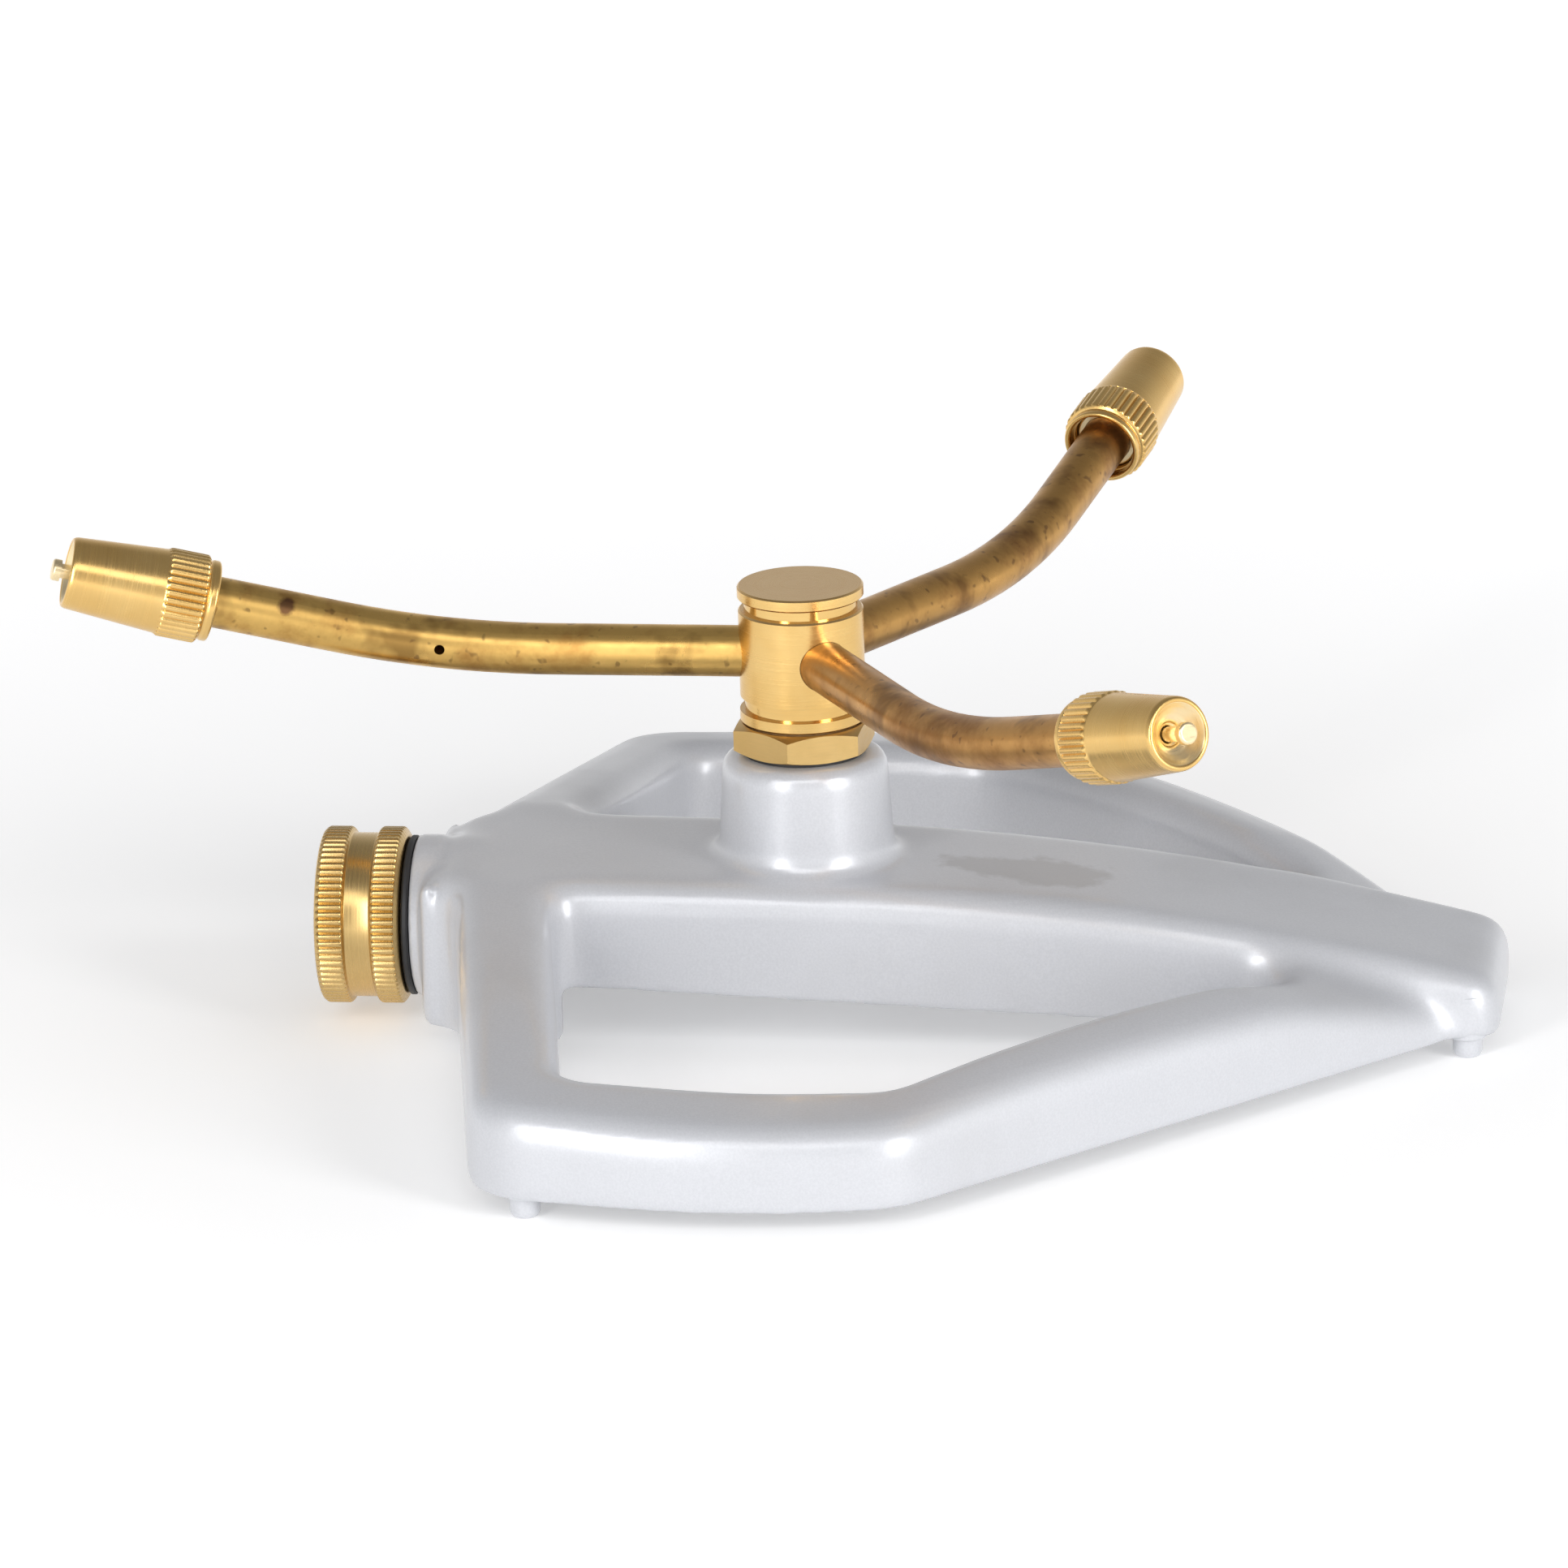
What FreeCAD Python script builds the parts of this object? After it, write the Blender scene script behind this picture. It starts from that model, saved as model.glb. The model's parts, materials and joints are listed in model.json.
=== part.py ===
"""Three-arm rotary lawn sprinkler, as separate pieces.

Frame: origin on the rotor axis at the ground, +Z up, +X from the rotor to the narrow end of the
base, so the hose inlet is at -X.  Millimetres.  Every driving size is a cell of the sheet "sizes".
"""
import FreeCAD, Part
import math
import os
import re

import Sketcher

V = FreeCAD.Vector
doc = FreeCAD.newDocument("sprinkler")

# ---------------------------------------------------------------------------------------------
# Driving sizes
# ---------------------------------------------------------------------------------------------
SIZES = {
    # cast base, plan
    "casting_wall": 3.0,
    "rim_height": 3.3,
    "spine_half_inlet": 22.9,
    "spine_half_tip": 20.2,
    "base_end": 62.7,
    "base_tip": 121.5,
    "crossbar_outer": 59.2,
    "crossbar_lean": 9.0,
    "crossbar_width": 16.6,
    "base_half_width": 114.2,
    "side_lean": 11.0,
    "side_round": 100.0,
    "rail_width": 20.5,
    "wing_corner": 26.84,
    "tip_shoulder": 7.83,
    "diagonal_width": 15.8,
    "corner_round": 14.0,
    "window_round": 6.0,
    "spine_round": 4.0,
    "inlet_corner": 6.0,
    "inlet_round": 5.0,
    "shoulder_round": 8.0,
    "tip_round": 4.5,
    "spine_overrun": 9.0,
    "edge_clearance": 0.02,
    # cast base, heights
    "deck_height": 30.9,
    "deck_rise": 1.3,
    "deck_arc": 525.0,
    "wing_arc": 220.0,
    "wing_arc_start": 30.0,
    "wing_shelf": 45.0,
    "rail_height": 17.8,
    "arch_height": 12.4,
    "arch_end_height": 3.2,
    "arch_clearance": 0.2,
    "edge_round": 2.0,
    # feet
    "foot_radius": 2.6,
    "foot_flat": 1.5,
    "foot_post": 3.3,
    "foot_post_height": 8.0,
    "foot_setback": 22.4,
    "foot_inset": 9.6,
    "tip_foot_setback": 5.6,
    "tip_foot_inset": 3.6,
    # boss for the spindle and gallery that feeds it
    "boss_radius": 14.3,
    "boss_fillet": 2.4,
    "boss_edge": 1.2,
    "block_reach": 3.7,
    "block_inset": 3.9,
    "block_drop": 0.8,
    "block_round": 3.2,
    "seat_gap": 0.05,
    "thread_run_out": 0.6,
    "edge_break": 0.3,
    "thread_break": 0.8,
    "boss_root_radius": 15.4,
    "boss_height": 49.3,
    "gallery_radius": 9.2,
    "gallery_bore": 5.5,
    # hose inlet
    "inlet_height": 18.5,
    "collar_radius": 14.2,
    "collar_reach": 6.3,
    "tail_radius": 9.0,
    "tail_bore": 6.5,
    "tail_thread": 11.0,
    "tail_flange_radius": 12.0,
    "tail_flange_width": 2.0,
    "inlet_washer_width": 1.2,
    "inlet_washer_radius": 14.0,
    "nut_radius": 15.5,
    "nut_length": 15.0,
    "nut_waist_radius": 14.4,
    "nut_waist_width": 4.6,
    "nut_web": 2.7,
    "nut_thread_radius": 12.6,
    "nut_relief": 0.5,
    "nut_edge_in": 1.2,
    "nut_edge_out": 0.9,
    "nut_waist_edge": 0.5,
    "nut_lead_in": 1.0,
    "tail_mouth": 0.6,
    "hose_washer_play": 0.5,
    "hose_washer_edge": 0.4,
    "hose_washer_width": 3.2,
    "nut_play": 0.25,
    # spindle and rotor hub
    "spindle_thread_radius": 8.0,
    "spindle_thread_length": 13.5,
    "hex_across": 22.2,
    "hex_height": 5.2,
    "hex_turn": 24.05,
    "hex_bevel": 0.9,
    "seal_thickness": 0.5,
    "thrust_thickness": 0.3,
    "journal_radius": 6.0,
    "journal_play": 0.05,
    "spindle_reach": 15.7,
    "spindle_bore": 3.6,
    "port_radius": 2.2,
    "ring_section": 0.85,
    "ring_room": 0.1,
    "spindle_roof": 2.0,
    "spindle_mouth": 1.2,
    "hub_radius": 11.0,
    "hub_height": 20.0,
    "hub_flange": 2.0,
    "hub_groove": 2.5,
    "hub_groove_depth": 0.9,
    "hub_step": 0.1,
    "hub_bearing": 7.0,
    "chamber_radius": 8.5,
    "cap_flange": 2.2,
    "cap_neck": 2.0,
    "cap_neck_radius": 9.9,
    "cap_plug": 2.8,
    "cap_plug_bevel": 0.6,
    "clip_thickness": 1.0,
    "clip_depth": 0.9,
    "clip_stand": 1.3,
    "washer_thickness": 0.9,
    "washer_play": 0.4,
    "seal_inset": 0.5,
    "thrust_inset": 1.5,
    # arms
    "arm_count": 3,
    "arm_first": 59.15,
    "arm_rise": 11.9,
    "tube_radius": 4.5,
    "tube_wall": 0.9,
    "arm_inner": 43.5,
    "arm_bend_radius": 110.6,
    "arm_bend": 20.07,
    "arm_roll": 49.67,
    "arm_outer": 21.5,
    "jet_radius": 0.9,
    # nozzles, measured along their own axis from the back of the cap
    "nozzle_length": 26.1,
    "nozzle_tip_radius": 6.3,
    "nozzle_cone_radius": 7.5,
    "knurl_radius": 7.8,
    "knurl_width": 7.5,
    "nozzle_collar": 1.7,
    "nozzle_collar_radius": 7.1,
    "nozzle_thread_radius": 5.7,
    "nozzle_thread_depth": 18.0,
    "nozzle_orifice": 2.5,
    "nozzle_dish_radius": 5.2,
    "nozzle_dish_depth": 2.6,
    "nozzle_throat": 1.0,
    "nozzle_tip_round": 0.7,
    "nozzle_lip": 0.15,
    "nozzle_mouth": 0.9,
    "nozzle_mouth_depth": 1.4,
    "stem_play": 0.1,
    "stem_length": 15.5,
    "stem_taper": 2.4,
    "stem_taper_depth": 1.6,
    "stem_wall": 2.6,
    "slot_radius": 1.3,
    "slot_setback": 3.6,
    "tube_seat": 8.0,
    "stem_setback": 3.0,
    "stem_bore": 3.0,
    "pin_radius": 1.9,
    "pin_neck": 1.3,
    "pin_head": 1.5,
    "pin_edge": 0.5,
    "pin_proud": 2.6,
    "nozzle_ring_section": 0.5,
    "nozzle_ring_place": 11.0,
}

sheet = doc.addObject("Spreadsheet::Sheet", "sizes")
for row, (alias, number) in enumerate(SIZES.items(), start=1):
    sheet.set("A%d" % row, alias)
    sheet.set("B%d" % row, str(number))
    sheet.setAlias("B%d" % row, alias)
doc.recompute()


def value(expression):
    """The number that an expression over the cells gives now."""
    return float(sheet.evalExpression(expression))


def bound(expression):
    """The same expression, as an object outside the sheet has to write it."""
    return re.sub(r"\b[a-z]+(?:_[a-z]+)+\b", lambda word: "sizes." + word.group(0), expression)


def bind(thing, prop, expression):
    """Tie a property of an object to the cells."""
    thing.setExpression(prop, bound(expression))


def add(kind, name, **bindings):
    """A new object of the document with its sizes bound to the cells."""
    thing = doc.addObject(kind, name)
    for prop, expression in bindings.items():
        bind(thing, prop, expression)
    return thing


# ---------------------------------------------------------------------------------------------
# Sketches
# ---------------------------------------------------------------------------------------------
def fill_sketch(sketch, points, arcs=None, closed=True):
    """Join points, given as pairs of expressions, by lines, or by an arc of the stated radius.

    arcs maps the number of a point to the radius of the arc that leaves it; the arc turns left
    on its way to the next point, or right if the radius is negative.
    """
    arcs = arcs or {}
    spots = [V(value(x), value(y), 0) for x, y in points]
    last = len(spots) if closed else len(spots) - 1
    for i in range(last):
        start = spots[i]
        end = spots[(i + 1) % len(spots)]
        if i in arcs:
            sketch.addGeometry(arc_between(start, end, value(arcs[i])), False)
        else:
            sketch.addGeometry(Part.LineSegment(start, end), False)
    for i in range(last):
        joins_next = i + 1 < last or closed
        if joins_next:
            after = (i + 1) % last
            sketch.addConstraint(Sketcher.Constraint("Coincident", i, end_of(i, arcs), after, start_of(after, arcs)))
    for i, (x, y) in enumerate(points):
        edge, corner = (i, start_of(i, arcs)) if i < last else (i - 1, end_of(i - 1, arcs))
        pin_down(sketch, "DistanceX", edge, corner, x)
        pin_down(sketch, "DistanceY", edge, corner, y)
    for i, radius in arcs.items():
        number = sketch.addConstraint(Sketcher.Constraint("Radius", i, abs(value(radius))))
        sketch.setExpression("Constraints[%d]" % number, bound("abs(%s)" % radius))


def start_of(i, arcs):
    """Which end of edge i its first point is: an arc runs counter-clockwise in a sketch."""
    return 2 if i in arcs and value(arcs[i]) < 0 else 1


def end_of(i, arcs):
    """Which end of edge i its last point is."""
    return 1 if i in arcs and value(arcs[i]) < 0 else 2


def arc_between(start, end, radius):
    """The short arc from start to end; a positive radius turns left on the way."""
    middle = (start + end) * 0.5
    way = end - start
    left = V(-way.y, way.x, 0).normalize()
    reach = math.sqrt(radius * radius - way.Length * way.Length / 4)
    side = 1 if radius > 0 else -1
    centre = middle + left * (side * reach)
    circle = Part.Circle(centre, V(0, 0, 1), abs(radius))
    first, second = (start, end) if radius > 0 else (end, start)
    return Part.ArcOfCircle(circle, circle.parameter(first), circle.parameter(second))


def pin_down(sketch, kind, edge, corner, expression):
    """Hold one coordinate of a point at an expression over the cells."""
    number = sketch.addConstraint(Sketcher.Constraint(kind, -1, 1, edge, corner, value(expression)))
    sketch.setExpression("Constraints[%d]" % number, bound(expression))


PLANES = {
    "XY": FreeCAD.Rotation(),
    "XZ": FreeCAD.Rotation(V(1, 0, 0), 90),
    "YZ": FreeCAD.Rotation(V(1, 1, 1), 120),
}


def free_sketch(name, plane, points, arcs=None, closed=True):
    """A sketch of its own on one of the main planes, for an extrusion or a sweep."""
    sketch = doc.addObject("Sketcher::SketchObject", name)
    sketch.Placement = FreeCAD.Placement(V(0, 0, 0), PLANES[plane])
    fill_sketch(sketch, points, arcs, closed)
    return sketch


def body_sketch(body, name, plane):
    """An empty sketch attached to one of the body's own origin planes."""
    sketch = body.newObject("Sketcher::SketchObject", name)
    role = plane + "_Plane"
    support = [feature for feature in body.Origin.OriginFeatures if feature.Role == role][0]
    sketch.AttachmentSupport = [(support, "")]
    sketch.MapMode = "FlatFace"
    return sketch


# ---------------------------------------------------------------------------------------------
# Building blocks
# ---------------------------------------------------------------------------------------------
pieces = []


def keep(thing, label, placement=None):
    """Name a finished sub-part and put it in its place."""
    thing.Label = label
    if placement is not None:
        thing.Placement = placement
    pieces.append(thing)
    return thing


def turned(name, outline, arcs=None):
    """A body turned on a lathe: pairs of radius and height, revolved about the vertical axis."""
    body = doc.addObject("PartDesign::Body", name)
    sketch = body_sketch(body, name + "_outline", "XZ")
    fill_sketch(sketch, outline, arcs)
    turn = body.newObject("PartDesign::Revolution", name + "_turn")
    turn.Profile = sketch
    turn.ReferenceAxis = (sketch, ["V_Axis"])
    turn.Angle = 360
    body.Tip = turn
    return body


def cylinder(name, radius, length, placement=None, **bindings):
    """A round bar with its radius and length bound to the cells."""
    bar = add("Part::Cylinder", name, Radius=radius, Height=length)
    if placement is not None:
        bar.Placement = placement
    for axis, expression in bindings.items():
        bind(bar, ".Placement.Base." + axis, expression)
    return bar


def cut(name, base, tool):
    """base with tool taken away."""
    result = doc.addObject("Part::Cut", name)
    result.Base = base
    result.Tool = tool
    return result


def fuse(name, shapes):
    """All the shapes as one."""
    result = doc.addObject("Part::MultiFuse", name)
    result.Shapes = shapes
    result.Refine = True
    return result


def common(name, shapes):
    """What all the shapes share."""
    result = doc.addObject("Part::MultiCommon", name)
    result.Shapes = shapes
    return result


def prism(name, sketch, lowest, highest):
    """A plan sketch raised from one height to another."""
    block = doc.addObject("Part::Extrusion", name)
    block.Base = sketch
    block.DirMode = "Custom"
    block.Dir = V(0, 0, 1)
    block.Solid = True
    bind(block, "LengthFwd", highest)
    bind(block, "LengthRev", "0 - (%s)" % lowest)
    return block


def rounded(name, block, corners):
    """A prism with its upright edges rounded: corners are (x, y, radius) expressions."""
    doc.recompute()
    result = doc.addObject("Part::Fillet", name)
    result.Base = block
    edges = []
    for x, y, radius in corners:
        spot = V(value(x), value(y), 0)
        for number, edge in enumerate(block.Shape.Edges, start=1):
            ends = [vertex.Point for vertex in edge.Vertexes]
            if all(math.hypot(end.x - spot.x, end.y - spot.y) < 0.01 for end in ends):
                edges.append((number, value(radius), value(radius)))
    result.Edges = edges
    return result


def mirrored(name, thing):
    """The copy on the other side of the base's middle plane."""
    result = doc.addObject("Part::Mirroring", name)
    result.Source = thing
    result.Normal = V(0, 1, 0)
    return result


def grown(name, thing, distance):
    """A prism with every face moved out by a distance, or in by a negative one."""
    result = doc.addObject("Part::Offset", name)
    result.Source = thing
    result.Join = "Intersection"
    bind(result, "Value", distance)
    return result


# ---------------------------------------------------------------------------------------------
# Base casting
# ---------------------------------------------------------------------------------------------
FAR_BELOW = "-20"
FAR_ABOVE = "60"
SLOPE = "atan(deck_rise / base_end)"


def deck_points(radius, begin, drop):
    """Side view of a deck: a straight run down from the inlet, then an arc towards the tip."""
    reach = "(base_tip + 6)"
    line = "deck_height - %s - (%s) * deck_rise / base_end"
    across = "(%s - %s + %s * sin(%s))" % (reach, begin, radius, SLOPE)
    arc_end = "%s - %s * cos(%s) + sqrt(%s ^ 2 - %s ^ 2)" % (line % (drop, begin), radius, SLOPE, radius, across)
    start = "0 - base_end - 12"
    return [(start, line % (drop, start)), (begin, line % (drop, begin)), (reach, arc_end)]


def spine_deck(name, drop):
    """The spine's side view, drawn right across the base."""
    start, top, end = deck_points("deck_arc", "0", drop)
    outline = [start, top, end, (end[0], FAR_BELOW), (start[0], FAR_BELOW)]
    sketch = free_sketch(name + "_side", "XZ", outline, {1: "0 - deck_arc"})
    block = doc.addObject("Part::Extrusion", name)
    block.Base = sketch
    block.DirMode = "Custom"
    block.Dir = V(0, 1, 0)
    block.Symmetric = True
    block.Solid = True
    bind(block, "LengthFwd", "2.4 * base_half_width")
    return block


FALL = "(deck_height - rail_height) / (base_half_width - spine_half_inlet)"


def wing_deck(name, drop, shelf, bent):
    """Cross view of the wings, falling outwards from a level shelf, swept along the base."""
    start, top, end = deck_points("wing_arc", "wing_arc_start", drop)
    edge = "(base_half_width + 6)"
    shelf_height = "%s - (%s - spine_half_inlet) * %s" % (start[1], shelf, FALL)
    edge_height = "%s - (%s - spine_half_inlet) * %s" % (start[1], edge, FALL)
    across = [
        ("0 - %s" % edge, FAR_BELOW),
        (edge, FAR_BELOW),
        (edge, edge_height),
        (shelf, shelf_height),
        ("0 - %s" % shelf, shelf_height),
        ("0 - %s" % edge, edge_height),
    ]
    section = free_sketch(name + "_section", "YZ", across)
    bind(section, ".Placement.Base.x", start[0])
    way = [start, top, end] if bent else [start, top]
    path = free_sketch(name + "_path", "XZ", way, {1: "0 - wing_arc"} if bent else None, closed=False)
    sweep = doc.addObject("Part::Sweep", name)
    sweep.Sections = [section]
    sweep.Spine = (path, ["Edge1", "Edge2"] if bent else ["Edge1"])
    sweep.Solid = True
    sweep.Frenet = False
    return sweep


# Plan of the base.  Lines are written as pairs (slope, height at X = 0) of Y against X, or of X
# against Y for the crossbar, and corners are where two of them meet.
SPINE_LEAN = "((spine_half_inlet - spine_half_tip) / (base_tip + base_end))"
SPINE_TOP = "(spine_half_inlet - base_end * %s)" % SPINE_LEAN


def spine_half(x):
    """Half the width of the spine at a place along the base."""
    return "(%s - (%s) * %s)" % (SPINE_TOP, x, SPINE_LEAN)


CROSS_LEAN = "tan(crossbar_lean)"
SIDE_LEAN = "tan(side_lean)"
SIDE_TOP = "(base_half_width + side_round * (1 / cos(side_lean) - 1))"
WING_CORNER = "(%s - %s * wing_corner)" % (SIDE_TOP, SIDE_LEAN)
DIAGONAL_END = "(base_tip - tip_shoulder)"
DIAGONAL = "((%s - %s) / (%s - wing_corner))" % (WING_CORNER, spine_half(DIAGONAL_END), DIAGONAL_END)
DIAGONAL_TOP = "(%s + %s * wing_corner)" % (WING_CORNER, DIAGONAL)


def crossbar_meets(x_offset, slope, top):
    """Where the crossbar's side, moved by x_offset, meets the line Y = top + slope * X."""
    foot = "(0 - crossbar_outer + %s - spine_half_inlet * %s)" % (x_offset, CROSS_LEAN)
    y = "((%s + %s * %s) / (1 - %s * %s))" % (top, slope, foot, slope, CROSS_LEAN)
    return ("(%s + %s * %s)" % (foot, y, CROSS_LEAN), y)


def lines_meet(slope, top, other_slope, other_top):
    """Where Y = top + slope * X meets Y = other_top + other_slope * X."""
    x = "((%s - %s) / (%s - %s))" % (other_top, top, slope, other_slope)
    return (x, "(%s + %s * %s)" % (top, slope, x))


def across(points):
    """The points followed by their mirror images, to close a plan that is alike on both sides."""
    return points + [(x, "0 - " + y) for x, y in reversed(points)]


OUTLINE_HALF = [
    ("0 - base_end", "(spine_half_inlet - inlet_corner)"),
    ("0 - crossbar_outer", "spine_half_inlet"),
    crossbar_meets("0", SIDE_LEAN, SIDE_TOP),
    ("0", SIDE_TOP),
    lines_meet("(0 - %s)" % SIDE_LEAN, SIDE_TOP, "(0 - %s)" % DIAGONAL, DIAGONAL_TOP),
    lines_meet("(0 - %s)" % SPINE_LEAN, SPINE_TOP, "(0 - %s)" % DIAGONAL, DIAGONAL_TOP),
    ("base_tip", spine_half("base_tip")),
]

# The shoulder's rounding is limited by the room that the tip's own rounding leaves beside it.
TIP_REACH = "(tip_round * (sqrt(1 + %s * %s) - %s))" % (SPINE_LEAN, SPINE_LEAN, SPINE_LEAN)
TURN_SLOPE = "((%s - %s) / (1 + %s * %s))" % (DIAGONAL, SPINE_LEAN, DIAGONAL, SPINE_LEAN)
HALF_TURN_SLOPE = "((sqrt(1 + %s * %s) - 1) / %s)" % (TURN_SLOPE, TURN_SLOPE, TURN_SLOPE)
SHOULDER_ROUND = "min(shoulder_round; (tip_shoulder - %s - edge_clearance) / %s)" % (TIP_REACH, HALF_TURN_SLOPE)
OUTLINE_ROUNDS = [
    "inlet_round", "inlet_round", "corner_round", "side_round", "corner_round", SHOULDER_ROUND, "tip_round",
]

INNER_SIDE_LEAN = "tan(side_lean / 2)"
INNER_SIDE_TOP = "(base_half_width - rail_width + side_round * (1 / cos(side_lean / 2) - 1))"
INNER_DIAGONAL_TOP = "(%s - diagonal_width * sqrt(1 + %s * %s))" % (DIAGONAL_TOP, DIAGONAL, DIAGONAL)
WINDOW = [
    crossbar_meets("crossbar_width", "(0 - %s)" % SPINE_LEAN, SPINE_TOP),
    crossbar_meets("crossbar_width", INNER_SIDE_LEAN, INNER_SIDE_TOP),
    ("0", INNER_SIDE_TOP),
    lines_meet("(0 - %s)" % INNER_SIDE_LEAN, INNER_SIDE_TOP, "(0 - %s)" % DIAGONAL, INNER_DIAGONAL_TOP),
    lines_meet("(0 - %s)" % SPINE_LEAN, SPINE_TOP, "(0 - %s)" % DIAGONAL, INNER_DIAGONAL_TOP),
]
WINDOW_ROUNDS = ["spine_round", "window_round", "side_round", "window_round", "window_round"]


def plan_prism(name, sketch, corners, rounds, lowest, highest, growth="0"):
    """A plan raised into a prism, its upright edges rounded, then grown or shrunk all round."""
    block = prism(name + "_sharp", sketch, lowest, highest)
    spots = [(x, y, radius) for (x, y), radius in zip(corners, rounds)]
    result = rounded(name + "_rounded", block, spots)
    return result if growth == "0" else grown(name, result, growth)


outline_corners = across(OUTLINE_HALF)
outline_rounds = OUTLINE_ROUNDS + OUTLINE_ROUNDS[::-1]
outline_plan = free_sketch("outline_plan", "XY", outline_corners)
window_plan = free_sketch("window_plan", "XY", WINDOW)
spine_plan = free_sketch("spine_plan", "XY", across([
    ("0 - base_end - spine_overrun", spine_half("0 - base_end - spine_overrun")),
    ("base_tip + spine_overrun", spine_half("base_tip + spine_overrun")),
]))


def base_form(name, drop, inset, lowest):
    """The outside of the casting, or, dropped and shrunk by the wall, the core that hollows it."""
    shrink = "0" if inset == "0" else "0 - " + inset
    outline = plan_prism(name + "_outline", outline_plan, outline_corners, outline_rounds, lowest, FAR_ABOVE, shrink)
    spine_room = prism(name + "_spine_sharp", spine_plan, lowest, FAR_ABOVE)
    if inset != "0":
        spine_room = grown(name + "_spine_room", spine_room, shrink)
    spine = common(name + "_spine", [spine_deck(name + "_deck", drop), spine_room])
    wings = wing_deck(name + "_wings", drop, "wing_shelf", True)
    crossbar = wing_deck(name + "_crossbar", drop, "spine_half_inlet", False)
    sides = cut(name + "_sides", fuse(name + "_wings_all", [wings, crossbar]), spine_room)
    solid = common(name + "_solid", [fuse(name + "_decks", [spine, sides]), outline])
    near = plan_prism(name + "_window", window_plan, WINDOW, WINDOW_ROUNDS, FAR_BELOW, FAR_ABOVE, inset)
    windows = fuse(name + "_windows", [near, mirrored(name + "_window_far", near)])
    return cut(name, solid, windows)


UPWARD = FreeCAD.Placement()
ALONG_X = FreeCAD.Placement(V(0, 0, 0), FreeCAD.Rotation(V(0, 1, 0), 90))
TOWARDS_INLET = FreeCAD.Placement(V(0, 0, 0), FreeCAD.Rotation(V(0, 1, 0), -90))


def rounded_top(name, form):
    """The form with the edges of its upper side rounded, as a casting leaves the mould."""
    doc.recompute()
    result = doc.addObject("Part::Fillet", name)
    result.Base = form
    lowest_edge = value("rim_height") + 6
    radius = value("edge_round")
    edges = []
    for number, edge in enumerate(form.Shape.Edges, start=1):
        box = edge.BoundBox
        upright = box.XLength < 0.5 and box.YLength < 0.5
        if box.ZMin > lowest_edge and not upright:
            edges.append((number, radius, radius))
    result.Edges = edges
    return result


def base_casting():
    """The hollow cast base, with its boss, gallery, inlet collar, arch and four feet."""
    outer = rounded_top("outer_rounded", base_form("outer", "0", "0", "rim_height"))
    core = base_form("core", "casting_wall", "casting_wall", FAR_BELOW)
    shell = cut("shell", outer, core)

    arch_start = "0 - crossbar_outer + crossbar_width + casting_wall"
    arch_end = "base_tip - casting_wall"
    arch_side = free_sketch("arch_side", "XZ", [
        (arch_start, FAR_BELOW),
        (arch_end, FAR_BELOW),
        (arch_end, "arch_end_height"),
        (arch_start, "arch_height"),
    ])
    arch_block = doc.addObject("Part::Extrusion", "arch_block")
    arch_block.Base = arch_side
    arch_block.DirMode = "Custom"
    arch_block.Dir = V(0, 1, 0)
    arch_block.Symmetric = True
    arch_block.Solid = True
    bind(arch_block, "LengthFwd", "4 * spine_half_inlet")
    arch_room = grown("arch_room", prism("arch_plan", spine_plan, FAR_BELOW, FAR_ABOVE), "arch_clearance")
    arch = common("arch", [arch_block, arch_room])

    skirt = "boss_root_radius + boss_fillet"
    boss = turned("boss", [
        ("0", "inlet_height"),
        (skirt, "inlet_height + gallery_radius"),
        (skirt, "deck_height"),
        ("boss_root_radius", "deck_height + boss_fillet"),
        ("boss_radius", "boss_height - boss_edge"),
        ("boss_radius - boss_edge", "boss_height"),
        ("0", "boss_height"),
    ], {2: "0 - boss_fillet", 4: "boss_edge"})
    gallery = cylinder("gallery", "gallery_radius", "base_end - casting_wall + gallery_radius", ALONG_X,
                       x="casting_wall - base_end", z="inlet_height")
    collar = cylinder("collar", "collar_radius", "collar_reach + 2 * casting_wall", TOWARDS_INLET,
                      x="2 * casting_wall - base_end", z="inlet_height")
    hollowed = cut("hollowed", shell, arch)
    solid = fuse("casting_solid", [hollowed, boss, gallery, collar, inlet_block()] + feet())

    thread = cylinder("spindle_hole", "spindle_thread_radius + seat_gap", "spindle_thread_length + thread_run_out",
                      UPWARD, z="boss_height - spindle_thread_length - thread_run_out")
    riser = cylinder("riser", "gallery_bore", "boss_height - inlet_height - casting_wall", UPWARD, z="inlet_height")
    passage = cylinder("passage", "gallery_bore", "base_end + collar_reach + casting_wall", TOWARDS_INLET,
                       z="inlet_height")
    tail_hole = cylinder("tail_hole", "tail_radius + seat_gap", "tail_thread + thread_run_out", ALONG_X,
                         x="0 - base_end - collar_reach", z="inlet_height")
    bores = fuse("bores", [thread, riser, passage, tail_hole])
    return keep(cut("casting", solid, bores), "base_casting")


def inlet_block():
    """The thick block that carries the collar, with its outer corners rounded."""
    half_width = "(spine_half_inlet - block_inset)"
    block = add("Part::Box", "inlet_block", Length="casting_wall + block_reach", Width="2 * " + half_width,
                Height="deck_height - rim_height - block_drop")
    for axis, expression in (("x", "0 - base_end - block_reach"), ("y", "0 - " + half_width), ("z", "rim_height")):
        bind(block, ".Placement.Base." + axis, expression)
    doc.recompute()
    face = 0 - value("base_end") - value("block_reach")
    radius = value("block_round")
    rounded_block = doc.addObject("Part::Fillet", "inlet_block_round")
    rounded_block.Base = block
    rounded_block.Edges = [
        (number, radius, radius) for number, edge in enumerate(block.Shape.Edges, start=1)
        if edge.BoundBox.XMax < face + radius / 2
    ]
    return rounded_block


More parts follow.
